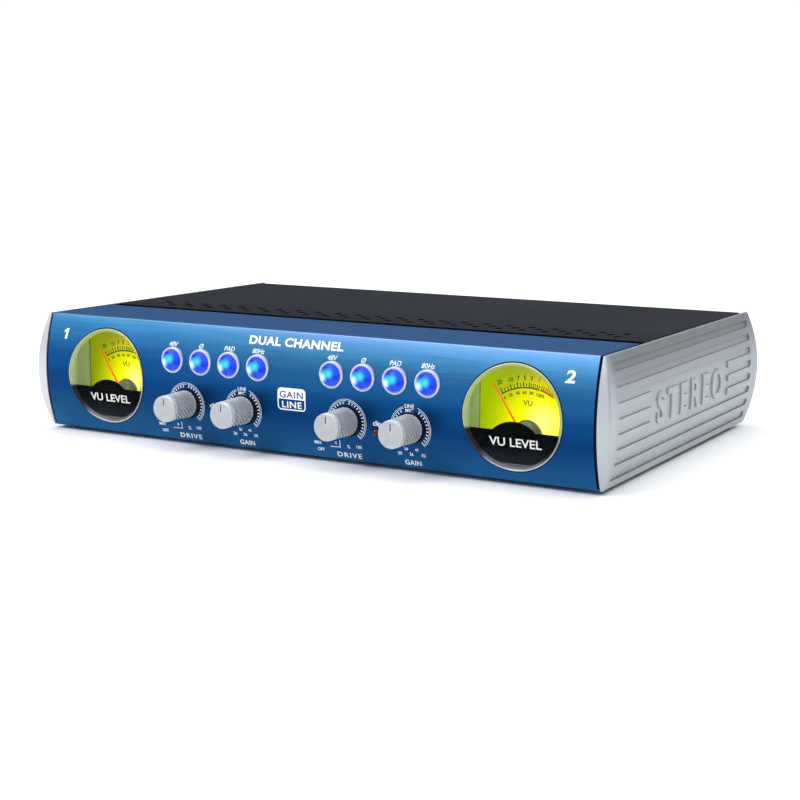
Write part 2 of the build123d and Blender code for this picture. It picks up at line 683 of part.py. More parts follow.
def power_switch_frame():
    back = REAR_Y + 1.6
    frame = box(POWER_X - 7.5, POWER_X + 7.5, REAR_Y + FIT / 2, back, ROCKER_Z - 10.5, ROCKER_Z + 10.5)
    frame = fillet(frame.edges().filter_by(Axis.Y), 1.0)
    frame += box(POWER_X - 6.5, POWER_X + 6.5, 122.0, REAR_Y + 0.5, ROCKER_Z - 9.5, ROCKER_Z + 9.5)
    well_w = ROCKER_HALF_W + 0.3
    frame -= box(POWER_X - well_w, POWER_X + well_w, REAR_Y - 5.5, BIG, ROCKER_Z - 8.3, ROCKER_Z + 8.3)
    for x in (POWER_X - well_w, POWER_X + well_w):
        frame += cross_rod(x - 0.6, x + 0.6, ROCKER_PIVOT_Y, ROCKER_Z, 0.7) & box(
            POWER_X - well_w - 1, POWER_X + well_w + 1, 120, 150, 0, 44
        )
    return frame


def power_rocker():
    """Rocker with a shallow V face.  It is built level, then tilted to its off position."""
    half_h = ROCKER_HALF_H
    centre = (REAR_Y + 1.4, ROCKER_Z)
    points = [
        (0, REAR_Y - 3.0, ROCKER_Z - half_h + 2.5),
        (0, REAR_Y + 1.6, ROCKER_Z - half_h),
        (0, REAR_Y + 2.9, ROCKER_Z - half_h + 0.4),
        (0, centre[0], centre[1]),
        (0, REAR_Y + 2.9, ROCKER_Z + half_h - 0.4),
        (0, REAR_Y + 1.6, ROCKER_Z + half_h),
        (0, REAR_Y - 3.0, ROCKER_Z + half_h - 2.5),
    ]
    face = make_face(Polyline(points, close=True))
    body = Location((POWER_X, 0, 0)) * extrude(face, amount=ROCKER_HALF_W, dir=(1, 0, 0), both=True)
    body -= cross_rod(POWER_X - 20, POWER_X + 20, ROCKER_PIVOT_Y, ROCKER_Z, 0.78)
    hinge = Axis((POWER_X, ROCKER_PIVOT_Y, ROCKER_Z), (1, 0, 0))
    return body.rotate(hinge, -ROCKER_TILT)


# --- inside -------------------------------------------------------------------------------------
def main_board():
    top = MAIN_BOARD_Z + BOARD_T
    half = MAIN_BOARD_HALF_W
    board = box(-half, half, MAIN_BOARD_FRONT, MAIN_BOARD_BACK, MAIN_BOARD_Z, top)
    for x, y in BOARD_POSTS:
        board -= post(x, y, 0, 20, 1.6)
    return board


def board_spacers():
    """Spacers under the main board, with a screw down through each corner."""
    pieces = []
    for x, y in BOARD_POSTS:
        spacer = post(x, y, SHEET + FIT / 2, MAIN_BOARD_Z - FIT / 2, 2.8) - post(x, y, -5, 20, 1.25)
        pieces.append(spacer)
        place = Location((x, y, MAIN_BOARD_Z + BOARD_T + FIT / 2), (180, 0, 0))
        pieces.append(place * pan_screw(2.6, 1.6, 1.2, 6.0))
    return group(pieces)


def tube_pin_places():
    """Nine pins on a circle of ten equal steps, as on any noval base."""
    for index in range(PIN_COUNT):
        angle = radians(PIN_STEP * index)
        yield TUBE_Y + PIN_CIRCLE * sin(angle), TUBE_Z + PIN_CIRCLE * cos(angle)


def vacuum_tube():
    """Glass double triode lying on its side, with a sealed tip and nine pins."""
    x0, x1 = TUBE_X
    shoulder = x1 - TUBE_R * 0.8
    dome = ThreePointArc((shoulder, TUBE_R), (x1 - 2.6, TUBE_R * 0.72), (x1, 2.0))
    wall = Polyline((x1, 2.0), (x1 + 3, 0.8), (x1 + 3, 0), (x0, 0), (x0, TUBE_R), (shoulder, TUBE_R))
    glass = revolve(make_face([dome, *wall.edges()]), Axis.X)
    glass = Location((0, TUBE_Y, TUBE_Z)) * glass
    for y, z in tube_pin_places():
        glass += cross_rod(x0 - 6, x0 + 1, y, z, 0.5)
    return glass


def tube_socket():
    """Nine-hole socket on an upright bracket."""
    x = TUBE_X[0]
    socket = cross_rod(x - 9, x - 0.5, TUBE_Y, TUBE_Z, 11.0)
    bracket = box(x - 11.5, x - 8.5, TUBE_Y - 14, TUBE_Y + 14, MAIN_BOARD_Z + BOARD_T + FIT, TUBE_Z + 12)
    socket += bracket
    for y, z in tube_pin_places():
        socket -= cross_rod(x - 7, x + 5, y, z, 0.6)
    return socket


def capacitors():
    large = [(-84, 60), (-84, 76)]
    small = [(-68, 60), (-68, 76), (60, 56), (76, 56)]
    cans = []
    for x, y, radius, height in [(*place, 5, 14) for place in large] + [(*place, 4, 12) for place in small]:
        base = MAIN_BOARD_Z + BOARD_T + FIT / 2
        can = post(x, y, base, base + height, radius)
        cans.append(fillet(can.edges().group_by(Axis.Z)[-1], 0.8))
    return group(cans)


def amplifier_chips():
    base = MAIN_BOARD_Z + BOARD_T
    chips = []
    for x in (30.0, 48.0, 66.0, 84.0):
        chip = box(x - 4.8, x + 4.8, 76.8, 83.2, base + 0.8, base + 4.0)
        for index in range(4):
            leg_x = x + (index - 1.5) * 2.54
            for y in (76.0, 83.2):
                chip += box(leg_x - 0.25, leg_x + 0.25, y, y + 0.8, base + FIT / 2, base + 2.2)
        chips.append(chip)
    return group(chips)


def board_link():
    """Row-of-pins connector that joins the front board to the main board."""
    y = FRONT_BOARD_Y + BOARD_T + FIT / 2
    link = box(-20, 20, y, y + 8.5, 6.0, 12.0)
    return link + box(-18, 18, y + 8.5, MAIN_BOARD_FRONT + 8, MAIN_BOARD_Z + BOARD_T + FIT / 2, 9.6)


def main():
    os.makedirs("parts", exist_ok=True)
    right_cap = end_cap()
    gasket = side_gasket()
    pieces = {
        "front_panel": front_panel(),
        "chassis_tray": chassis_tray(),
        "top_cover": top_cover(),
        "rear_panel": rear_panel(),
        "right_end_cap": right_cap,
        "left_end_cap": left_of(right_cap),
        "side_gaskets": group([gasket, left_of(gasket)]),
        "rubber_feet": rubber_feet(),
        "case_screws": case_screws(),
        "rear_screws": rear_screws(),
        "button_bezels": button_bezels(),
        "switch_bodies": switch_bodies(),
        "potentiometers": potentiometers(),
        "clip_leds": clip_leds(),
        "front_board": front_board(),
        "front_spacers": front_spacers(),
        "xlr_outputs": group([xlr_output(x) for x in XLR_X]),
        "combo_jacks": group([combo_jack(x) for x in COMBO_X]),
        "line_jacks": line_jacks(),
        "power_inlet": power_inlet(),
        "power_switch_frame": power_switch_frame(),
        "power_rocker": power_rocker(),
        "main_board": main_board(),
        "board_spacers": board_spacers(),
        "board_link": board_link(),
        "vacuum_tube": vacuum_tube(),
        "tube_socket": tube_socket(),
        "capacitors": capacitors(),
        "amplifier_chips": amplifier_chips(),
    }
    for channel, x in zip("12", COMBO_X):
        pieces[f"combo_latch_{channel}"] = combo_latch(x)
    for node, x in button_places():
        pieces[node] = push_button(x)
    for node, x in knob_places():
        pieces[node] = knob(x)
        pieces[node.replace("knob", "shaft")] = knob_shaft(x)
    for channel, x in METERS:
        pieces[f"meter_rim_{channel}"] = meter_rim(x)
        pieces[f"meter_lens_{channel}"] = meter_lens(x)
        pieces[f"meter_mask_{channel}"] = meter_mask(x)
        pieces[f"meter_housing_{channel}"] = meter_housing(x)
        pieces[f"meter_scale_{channel}"] = meter_scale(x)
        pieces[f"meter_needle_{channel}"] = meter_needle(x)
    pieces["meter_movements"] = group([meter_movement(x) for _, x in METERS])
    for node, shape in pieces.items():
        save(shape, node)
    print(len(pieces), "nodes; middle of the depth at", round(MID_DEPTH, 3))


main()
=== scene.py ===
"""Looks for the two-channel tube microphone preamp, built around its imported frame.

Sizes are in millimetres in the frame's own axes (X right, Y back, Z up), and add_piece() turns them
into metres.  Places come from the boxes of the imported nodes.
"""

import json
from math import ceil, cos, floor, pi, radians, sin, sqrt

import bmesh
import bpy
from mathutils import Matrix, Vector

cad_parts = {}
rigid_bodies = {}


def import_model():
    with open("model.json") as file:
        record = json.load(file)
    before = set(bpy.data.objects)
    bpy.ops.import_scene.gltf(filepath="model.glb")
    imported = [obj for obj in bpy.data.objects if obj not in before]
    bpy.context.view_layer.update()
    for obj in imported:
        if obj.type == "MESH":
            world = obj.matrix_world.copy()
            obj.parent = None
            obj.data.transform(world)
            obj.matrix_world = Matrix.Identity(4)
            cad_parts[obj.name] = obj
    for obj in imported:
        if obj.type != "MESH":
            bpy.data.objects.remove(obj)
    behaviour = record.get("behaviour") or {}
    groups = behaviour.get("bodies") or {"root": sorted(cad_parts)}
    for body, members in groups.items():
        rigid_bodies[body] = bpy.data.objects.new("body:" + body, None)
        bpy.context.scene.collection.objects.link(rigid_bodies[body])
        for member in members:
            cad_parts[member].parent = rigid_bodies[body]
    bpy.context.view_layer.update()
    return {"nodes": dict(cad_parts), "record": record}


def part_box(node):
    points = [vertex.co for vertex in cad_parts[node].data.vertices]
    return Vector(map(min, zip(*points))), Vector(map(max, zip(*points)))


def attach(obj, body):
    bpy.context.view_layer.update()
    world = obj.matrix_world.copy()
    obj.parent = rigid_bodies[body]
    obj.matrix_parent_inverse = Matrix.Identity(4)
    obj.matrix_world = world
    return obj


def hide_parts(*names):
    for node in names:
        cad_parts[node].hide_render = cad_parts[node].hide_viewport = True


for leftover in list(bpy.data.objects):
    bpy.data.objects.remove(leftover)
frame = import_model()

MM = 0.001


# --- where things are ---
def corners(node):
    low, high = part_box(node)
    return low / MM, high / MM


def middle(node):
    low, high = corners(node)
    return (low + high) / 2


PANEL_LOW, PANEL_HIGH = corners("front_panel")
CASE_H = PANEL_HIGH.z - PANEL_LOW.z
MID_Z = (PANEL_LOW.z + PANEL_HIGH.z) / 2
PANEL_BULGE = 4.3
PANEL_R = (CASE_H ** 2 / 4 + PANEL_BULGE ** 2) / (2 * PANEL_BULGE)
EDGE_Y = PANEL_LOW.y + PANEL_BULGE
CHANNELS = ("1", "2")
BUTTON_WORDS = {"phantom": "48V", "polarity": "Ø", "pad": "PAD", "low_cut": "80Hz"}
WINDOW_R = 18.1
LENS_R = 17.3
MASK_INSET = 1.1
KNOB_LENGTH = 13.0
KNOB_R = 4.8


def panel_y(z, proud=0.0):
    """Y of the bowed front face at height z, or of a surface that stands proud of it."""
    return PANEL_LOW.y + PANEL_R - sqrt((PANEL_R + proud) ** 2 - (z - MID_Z) ** 2)


# --- materials ---
class Paint:
    """A material being built: its node tree, its shader and the few kinds of node used here."""

    def __init__(self, name, colour, roughness, metallic=0.0, **sockets):
        self.material = bpy.data.materials.new(name)
        self.material.use_nodes = True
        self.nodes = self.material.node_tree.nodes
        self.shader = self.nodes["Principled BSDF"]
        self.set("Base Color", (*colour, 1.0))
        self.set("Roughness", roughness)
        self.set("Metallic", metallic)
        for socket, value in sockets.items():
            self.set(socket.replace("_", " "), value)

    def set(self, socket, value):
        self.shader.inputs[socket].default_value = value

    def link(self, source, target):
        self.material.node_tree.links.new(source, target)

    def use(self, socket, source):
        self.link(source, self.shader.inputs[socket])

    def place(self, stretch=(1, 1, 1)):
        """The piece's own coordinates, in metres, times stretch."""
        where = self.nodes.new("ShaderNodeTexCoord")
        scale = self.nodes.new("ShaderNodeMapping")
        scale.inputs["Scale"].default_value = stretch
        self.link(where.outputs["Object"], scale.inputs["Vector"])
        return scale.outputs["Vector"]

    def noise(self, scale, detail=2.0, stretch=(1, 1, 1)):
        node = self.nodes.new("ShaderNodeTexNoise")
        node.inputs["Scale"].default_value = scale
        node.inputs["Detail"].default_value = detail
        self.link(self.place(stretch), node.inputs["Vector"])
        return node.outputs["Fac"]

    def along(self, axis, low, high):
        """0 at low and 1 at high along one axis, in millimetres."""
        split = self.nodes.new("ShaderNodeSeparateXYZ")
        self.link(self.place(), split.inputs["Vector"])
        span = self.nodes.new("ShaderNodeMapRange")
        span.inputs["From Min"].default_value = low * MM
        span.inputs["From Max"].default_value = high * MM
        self.link(split.outputs[axis], span.inputs["Value"])
        return span.outputs["Result"]

    def spot(self, place, radius):
        """1 at a place on the XZ plane, falling smoothly to 0 at radius millimetres from it."""
        flat = self.place((1, 0, 1))
        away = self.nodes.new("ShaderNodeVectorMath")
        away.operation = "DISTANCE"
        away.inputs[1].default_value = (place[0] * MM, 0, place[1] * MM)
        self.link(flat, away.inputs[0])
        fade = self.nodes.new("ShaderNodeMapRange")
        fade.interpolation_type = "SMOOTHSTEP"
        fade.inputs["From Max"].default_value = radius * MM
        fade.inputs["To Min"].default_value = 1.0
        fade.inputs["To Max"].default_value = 0.0
        self.link(away.outputs["Value"], fade.inputs["Value"])
        return fade.outputs["Result"]

    def ramp(self, factor, *stops):
        """Colours or grey levels along a factor, from (position, colour) stops."""
        node = self.nodes.new("ShaderNodeValToRGB")
        spare = node.color_ramp.elements
        while len(spare) < len(stops):
            spare.new(0.5)
        for element, (position, colour) in zip(spare, stops):
            element.position = position
            grey = isinstance(colour, (int, float))
            element.color = (colour, colour, colour, 1) if grey else (*colour, 1)
        self.link(factor, node.inputs["Fac"])
        return node.outputs["Color"]

    def mix(self, factor, first, second, blend="MIX"):
        """Mix two colours, each given as a socket or as a plain colour."""
        node = self.nodes.new("ShaderNodeMix")
        node.data_type = "RGBA"
        node.blend_type = blend
        if isinstance(factor, (int, float)):
            node.inputs["Factor"].default_value = factor
        else:
            self.link(factor, node.inputs["Factor"])
        for socket, value in zip((node.inputs[6], node.inputs[7]), (first, second)):
            if isinstance(value, tuple):
                socket.default_value = (*value, 1)
            else:
                self.link(value, socket)
        return node.outputs[2]

    def times(self, first, second):
        return self.mix(1.0, first, second, "MULTIPLY")

    def clouded(self, colour, scale, dark, detail=2.0):
        """A colour times a soft cloud, which goes from dark to 1."""
        return self.times(colour, self.ramp(self.noise(scale, detail), (0.3, dark), (0.7, 1.0)))

    def bump(self, height, depth):
        """Relief of the given depth in millimetres."""
        node = self.nodes.new("ShaderNodeBump")
        node.inputs["Distance"].default_value = depth * MM
        self.link(height, node.inputs["Height"])
        self.use("Normal", node.outputs["Normal"])


def mottled(name, colour, roughness, metallic=0.0, grain=600.0, depth=0.02, shade=0.12, **sockets):
    """A surface with fine grain: a little relief, and small changes of colour and of roughness."""
    paint = Paint(name, colour, roughness, metallic, **sockets)
    dark = tuple(c * (1 - shade) for c in colour)
    light = tuple(min(1.0, c * (1 + shade)) for c in colour)
    fine = paint.noise(grain, 3.0)
    paint.use("Base Color", paint.ramp(paint.noise(grain * 0.12, 4.0), (0.3, dark), (0.7, light)))
    paint.use("Roughness", paint.ramp(fine, (0.3, roughness * 0.85), (0.7, min(1.0, roughness * 1.15))))
    paint.bump(fine, depth)
    return paint.material


def blue_anodised():
    """Brushed aluminium dyed blue, with painted light in its colour: painted shade below the middle and a
    painted highlight along the top edge, a little different on the left and on the right.
    """
    paint = Paint("blue_anodised_brushed", (0.05, 0.2, 0.5), 0.36, 1.0)
    height = paint.along("Z", PANEL_LOW.z, PANEL_HIGH.z)
    # Painted light: these ramps darken the blue below the middle and brighten it along the top edge, a little
    # differently on the left and on the right.
    left = paint.ramp(
        height,
        (0.02, (0.018, 0.125, 0.330)),
        (0.18, (0.009, 0.082, 0.210)),
        (0.36, (0.003, 0.048, 0.180)),
        (0.50, (0.003, 0.052, 0.202)),
        (0.68, (0.010, 0.113, 0.376)),
        (0.84, (0.045, 0.270, 0.640)),
        (0.95, (0.062, 0.315, 0.640)),
        (0.99, (0.125, 0.390, 0.690)),
    )
    right = paint.ramp(
        height,
        (0.02, (0.020, 0.140, 0.340)),
        (0.18, (0.010, 0.075, 0.230)),
        (0.32, (0.003, 0.041, 0.158)),
        (0.50, (0.005, 0.065, 0.213)),
        (0.68, (0.021, 0.141, 0.377)),
        (0.84, (0.059, 0.265, 0.524)),
        (0.95, (0.095, 0.275, 0.530)),
        (0.99, (0.156, 0.309, 0.610)),
    )
    dye_and_painted_light = paint.mix(paint.along("X", -75, -5), left, right)
    # Painted shade: the flange, the same anodised metal, is given a darker blue.
    flange_painted_shade = paint.along("Y", EDGE_Y + 0.6, EDGE_Y + 1.4)
    dye_and_painted_light = paint.mix(flange_painted_shade, dye_and_painted_light, (0.018, 0.165, 0.480))
    brush = paint.noise(1.0, 3.0, (45, 2600, 2600))
    streak = paint.noise(1.0, 2.0, (9, 420, 420))
    dye_and_painted_light = paint.times(dye_and_painted_light, paint.ramp(brush, (0.25, 0.88), (0.75, 1.0)))
    dye_and_painted_light = paint.times(dye_and_painted_light, paint.ramp(streak, (0.3, 0.92), (0.7, 1.0)))
    paint.use("Base Color", dye_and_painted_light)
    paint.use("Roughness", paint.ramp(brush, (0.25, 0.30), (0.75, 0.46)))
    paint.bump(brush, 0.012)
    return paint.material


def powder_coat():
    """Charcoal powder coat, with painted shade towards the front, and black painted shade on the walls of the
    vent holes and on the sheet's front edge.
    """
    paint = Paint("charcoal_powder_coat", (0.011, 0.013, 0.020), 0.5, Specular_IOR_Level=0.08)
    front, top = corners("top_cover")[0].y, corners("top_cover")[1].z
    pebble = paint.noise(1500.0, 2.0)
    cloud = paint.noise(18.0, 3.0)
    coat = paint.ramp(cloud, (0.3, (0.0095, 0.0110, 0.0185)), (0.7, (0.0130, 0.0150, 0.0240)))
    sheet = paint.along("Z", top - 2.0, top)
    # Painted shade: black across the thickness of the sheet, on the walls of the vent holes and on its front
    # edge, only near the front.
    edge = paint.ramp(sheet, (0.10, 1.0), (0.16, 0.03), (0.955, 0.03), (0.985, 1.0))
    edge = paint.mix(paint.along("Y", front + 38, front + 42), edge, (1.0, 1.0, 1.0))
    shaded = paint.ramp(paint.along("Y", front, front + 30), (0.0, 0.55), (1.0, 1.0))
    paint.use("Base Color", paint.times(paint.times(coat, shaded), edge))
    paint.use("Roughness", paint.ramp(pebble, (0.3, 0.42), (0.7, 0.60)))
    paint.bump(pebble, 0.05)
    return paint.material


def silver_paint():
    """Satin silver, with painted shade along the top and a painted highlight on the front face, strongest on
    the left.
    """
    paint = Paint("silver_satin_paint", (0.5, 0.53, 0.56), 0.40, 0.45)
    grain = paint.noise(1800.0, 2.0)
    cloud = paint.noise(25.0, 3.0)
    silver = paint.ramp(cloud, (0.3, (0.37, 0.405, 0.44)), (0.7, (0.42, 0.455, 0.49)))
    height = paint.along("Z", PANEL_LOW.z, PANEL_HIGH.z)
    # Painted shade: darker towards the top.
    silver = paint.times(silver, paint.ramp(height, (0.62, 1.0), (0.82, 0.80), (0.98, 0.70)))
    # Painted highlight: paler on the front face, most of all on the left.
    front = paint.along("Y", EDGE_Y + 3, EDGE_Y - 1)
    front_painted_highlight = paint.mix(paint.along("X", -100, 100), (0.59, 0.61, 0.64), (0.45, 0.48, 0.52))
    silver = paint.mix(front, silver, front_painted_highlight)
    paint.use("Base Color", silver)
    paint.use("Roughness", paint.ramp(grain, (0.3, 0.34), (0.7, 0.46)))
    paint.bump(grain, 0.015)
    return paint.material


def glass(name, colour, roughness, ior, waves, depth):
    """Clear, with faint moulding waves."""
    paint = Paint(name, colour, roughness, 0.0, Transmission_Weight=1.0, IOR=ior)
    paint.bump(paint.noise(waves, 1.0), depth)
    return paint.material


def meter_glow(name, centre, green):
    """Printed plate lit from behind by a lamp low down, more yellow near it and greener to the left."""
    x, z = centre
    paint = Paint(name, (0.55, 0.6, 0.02), 0.55, Specular_IOR_Level=0.04, Emission_Strength=1.15)
    far = paint.ramp(
        paint.along("Z", z - 8, z + 17),
        (0.0, (0.72, 0.76, 0.0)),
        (0.5, (0.46, 0.48, 0.0)),
        (0.85, (0.29, 0.285, 0.020)),
        (1.0, (0.26, 0.26, 0.050)),
    )
    left = paint.along("X", x + 2, x - 18)
    far = paint.mix(left, far, green)
    near = paint.mix(paint.spot((x + 6, z - 4), 23.0), far, (1.08, 1.06, 0.0))
    amber = paint.mix(paint.spot((x + 12, z + 11), 8.0), near, (0.60, 0.34, 0.0))
    hot = paint.mix(paint.spot((x + 5.5, z - 3.0), 9.0), amber, (1.0, 1.0, 0.24))
    hot = paint.clouded(hot, 900.0, 0.93)
    paint.use("Emission Color", hot)
    paint.use("Base Color", paint.mix(0.9, hot, (0.0, 0.0, 0.0)))
    return paint.material


def housing_glow():
    """The housing's walls pick up the light of the plate, down to the dark corner beside it."""
    paint = Paint("meter_housing_lit", (0.35, 0.45, 0.22), 0.5, Emission_Strength=1.0)
    depth = paint.along("Y", EDGE_Y - 3, corners("meter_scale_1")[0].y)
    glow = paint.ramp(
        depth,
        (0.0, (0.38, 0.45, 0.27)),
        (0.35, (0.19, 0.25, 0.13)),
        (0.9, (0.25, 0.35, 0.13)),
        (1.0, (0.05, 0.07, 0.01)),
    )
    glow = paint.clouded(glow, 120.0, 0.85)
    paint.use("Emission Color", paint.mix(0.35, glow, (0.0, 0.0, 0.0)))
    paint.use("Base Color", glow)
    return paint.material


def window_lip():
    """Rounded outer lip of the lens, its colour a painted reflection: lime beside the lit plate, dark left of
    the mask, and silvery below.
    """
    paint = Paint("window_lip", (0.7, 0.8, 0.6), 0.2, 0.2)
    height = paint.along("Z", -WINDOW_R, WINDOW_R)
    tint = paint.ramp(
        height,
        (0.0, (0.62, 0.62, 0.68)),
        (0.30, (0.32, 0.33, 0.36)),
        (0.42, (0.45, 0.52, 0.34)),
        (1.0, (0.46, 0.54, 0.34)),
    )
    # Painted reflection of the black mask, on the left only.
    mask_painted_reflection = paint.ramp(height, (0.07, 1.0), (0.12, 0.06), (0.365, 0.06), (0.39, 1.0))
    mask_painted_reflection = paint.mix(paint.along("X", -12, -6), mask_painted_reflection, (1.0, 1.0, 1.0))
    paint.use("Base Color", paint.clouded(paint.times(tint, mask_painted_reflection), 220.0, 0.85))
    return paint.material


def window_bevel():
    """Bevelled edge of the clear lens, with painted colour and a painted glow for the light and shade of what
    is behind it: the mask, its sill or the lit housing.
    """
    paint = Paint("window_bevel", (0.3, 0.4, 0.2), 0.12, 0.0, Specular_IOR_Level=0.35, Emission_Strength=0.45)
    tint = paint.ramp(
        paint.along("Z", -WINDOW_R, WINDOW_R),
        (0.0, (0.17, 0.175, 0.20)),
        (0.10, (0.11, 0.115, 0.14)),
        (0.17, (0.012, 0.013, 0.022)),
        (0.365, (0.006, 0.007, 0.012)),
        (0.39, (0.26, 0.36, 0.13)),
        (0.70, (0.30, 0.40, 0.16)),
        (1.0, (0.36, 0.40, 0.10)),
    )
    tint = paint.clouded(tint, 160.0, 0.8)
    paint.use("Base Color", tint)
    paint.use("Emission Color", tint)
    return paint.material


def mask_gloss():
    """Gloss black of the meter mask, a little blue towards its lower edge."""
    low, high = corners("meter_mask_1")
    paint = Paint("mask_gloss_black", (0.003, 0.003, 0.004), 0.25, Specular_IOR_Level=0.0)
    height = paint.along("Z", low.z, high.z)
    tint = paint.ramp(height, (0.0, (0.020, 0.026, 0.036)), (0.40, (0.004, 0.005, 0.009)), (1.0, 0.001))
    paint.use("Base Color", paint.clouded(tint, 200.0, 0.8))
    return paint.material


def lit_blue(radius):
    """Button dome lit from inside: white-cyan low on its left, a cyan band, and deeper blues round them."""
    paint = Paint("button_lit_blue", (0.002, 0.006, 0.05), 0.3, Specular_IOR_Level=0.15)
    paint.set("Emission Strength", 1.0)
    glow = paint.mix(paint.spot((0, 0), radius * 1.15), (0.030, 0.10, 0.90), (0.010, 0.14, 1.0))
    patches = (
        (-0.55, 0.75, 0.65, (0.015, 0.02, 0.62)),
        (0.75, -0.15, 0.55, (0.004, 0.03, 0.75)),
        (0.05, 0.20, 0.70, (0.08, 0.95, 1.20)),
        (-0.55, 0.0, 0.80, (0.02, 0.72, 1.02)),
        (0.05, -0.60, 0.50, (0.020, 0.06, 0.85)),
        (-0.72, -0.25, 0.62, (0.90, 1.35, 1.30)),
    )
    for x, z, size, colour in patches:
        glow = paint.mix(paint.spot((radius * x, radius * z), radius * size), glow, colour)
    swirl = paint.ramp(paint.noise(700.0, 2.0), (0.35, 0.85), (0.65, 1.0))
    paint.use("Emission Color", paint.times(glow, swirl))
    return paint.material


def bridge_smoke():
    """Smoky cap over a meter's coil bridge, bluish on its left, with a painted glow for the light of the lit
    plate on it.
    """
    paint = Paint("pivot_cover_smoke", (0.16, 0.2, 0.12), 0.22, Coat_Weight=0.5, Emission_Strength=0.35)
    across = paint.along("X", -5, 6)
    left, middle_part, right = (0.10, 0.15, 0.20), (0.22, 0.30, 0.14), (0.14, 0.14, 0.03)
    tint = paint.ramp(across, (0.0, left), (0.55, middle_part), (1.0, right))
    tint = paint.clouded(tint, 500.0, 0.7, 3.0)
    paint.use("Base Color", tint)
    paint.use("Emission Color", tint)
    return paint.material


def knob_grey():
    """Satin silver with painted highlights: a bright ring on the turned edge round the face and a bright band
    on the bead behind it.
    """
    paint = Paint("knob_satin_silver", (0.42, 0.44, 0.47), 0.36, 0.25)
    fine = paint.noise(2200.0, 2.0)
    worn = paint.noise(260.0, 3.0)
    satin = paint.ramp(worn, (0.3, (0.40, 0.42, 0.45)), (0.7, (0.47, 0.49, 0.52)))
    behind = paint.along("Y", -KNOB_LENGTH / 2, -KNOB_LENGTH / 2 + 4)
    # Painted highlights along the face's edge and the bead behind it.
    painted_highlight_bands = paint.ramp(
        behind, (0.0, 1.0), (0.12, 1.0), (0.22, 0.0), (0.32, 0.0), (0.36, 1.0), (0.52, 1.0), (0.56, 0.0)
    )
    outside = paint.ramp(paint.spot((0, 0), KNOB_R * 1.2), (0.05, 1.0), (0.12, 0.0))
    paint.use("Base Color", paint.mix(paint.times(painted_highlight_bands, outside), satin, (0.86, 0.88, 0.90)))
    paint.use("Roughness", paint.ramp(fine, (0.3, 0.32), (0.7, 0.44)))
    paint.bump(fine, 0.01)
    return paint.material


def clip_lamp():
    paint = Paint("clip_lamp", (0.03, 0.004, 0.003), 0.12)
    speckle = paint.noise(900.0)
    paint.use("Base Color", paint.ramp(speckle, (0.3, (0.016, 0.002, 0.002)), (0.7, (0.04, 0.006, 0.004))))
    return paint.material


def circuit_board():
    paint = Paint("solder_mask_green", (0.02, 0.14, 0.06), 0.3)
    tracks = paint.noise(1.0, 1.0, (260, 40, 260))
    paint.use("Base Color", paint.ramp(tracks, (0.48, (0.015, 0.11, 0.05)), (0.52, (0.03, 0.19, 0.08))))
    paint.bump(tracks, 0.03)
    return paint.material


LOOKS = {
    "blue_anodised": blue_anodised(),
    "zinc_steel": mottled("zinc_plate", (0.58, 0.60, 0.61), 0.34, 0.9, 300.0, 0.01),
    "charcoal_powder": powder_coat(),
    "silver_casting": silver_paint(),
    "black_rubber": mottled(
        "black_rubber_matt", (0.004, 0.005, 0.010), 0.8, 0.0, 900.0, 0.02, Specular_IOR_Level=0.15
    ),
    "black_steel": mottled("black_oxide_steel", (0.035, 0.036, 0.04), 0.36, 0.8, 900.0, 0.01),
    "bright_chrome": mottled("bright_plating", (0.60, 0.58, 0.66), 0.22, 0.8, 500.0, 0.004, 0.05),
    "black_plastic": mottled("black_moulded_plastic", (0.016, 0.016, 0.018), 0.45, 0.0, 1400.0, 0.02),
    "black_gloss": mask_gloss(),
    "red_lens": clip_lamp(),
    "green_board": circuit_board(),
    "brass": mottled("turned_brass", (0.70, 0.52, 0.24), 0.28, 1.0, 700.0, 0.01),
    "nickel_shell": mottled("satin_nickel", (0.60, 0.60, 0.58), 0.3, 0.95, 800.0, 0.01),
    "clear_glass": glass("clear_window", (1.0, 1.0, 0.97), 0.0, 1.07, 60.0, 0.004),
    "ceramic_white": mottled("unglazed_ceramic", (0.80, 0.78, 0.72), 0.6, 0.0, 500.0, 0.02),
    "latch_plastic": mottled("latch_plastic_grey", (0.10, 0.10, 0.11), 0.4, 0.0, 1200.0, 0.02),
    "meter_grey": mottled("meter_moulding", (0.25, 0.28, 0.26), 0.5, 0.0, 900.0, 0.02),
    "meter_housing_green": housing_glow(),
    # Painted light: the needle glows as if lit by the meter's lamp.
    "needle_red": mottled(
        "needle_lacquer", (0.90, 0.12, 0.01), 0.4, 0.0, 400.0, 0.002, 0.05,
        Emission_Strength=0.45, Emission_Color=(1.0, 0.12, 0.01, 1),
    ),
    "knob_silver": knob_grey(),
}
WHITE_INK = mottled("white_ink", (0.90, 0.91, 0.93), 0.5, 0.0, 1500.0, 0.004, 0.04)
DARK_INK = mottled("meter_ink", (0.030, 0.032, 0.004), 0.6, 0.0, 1500.0, 0.004, 0.1)
RED_INK = mottled("meter_red_ink", (0.62, 0.12, 0.01), 0.6, 0.0, 1500.0, 0.004, 0.1)
NAVY_INK = mottled("navy_ink", (0.010, 0.030, 0.120), 0.5, 0.0, 1500.0, 0.004, 0.1)
GOLD = mottled("gold_contacts", (0.85, 0.62, 0.25), 0.22, 1.0, 900.0, 0.004, 0.05)
ROCKER_GLOSS = mottled("rocker_gloss", (0.030, 0.031, 0.036), 0.16, 0.0, 700.0, 0.004, 0.1)
SILVER_SILL = mottled("silver_sill", (0.15, 0.155, 0.18), 0.25, 0.4, 300.0, 0.01, 0.15)


def dress(node, look):
    frame["nodes"][node].material_slots[0].material = look


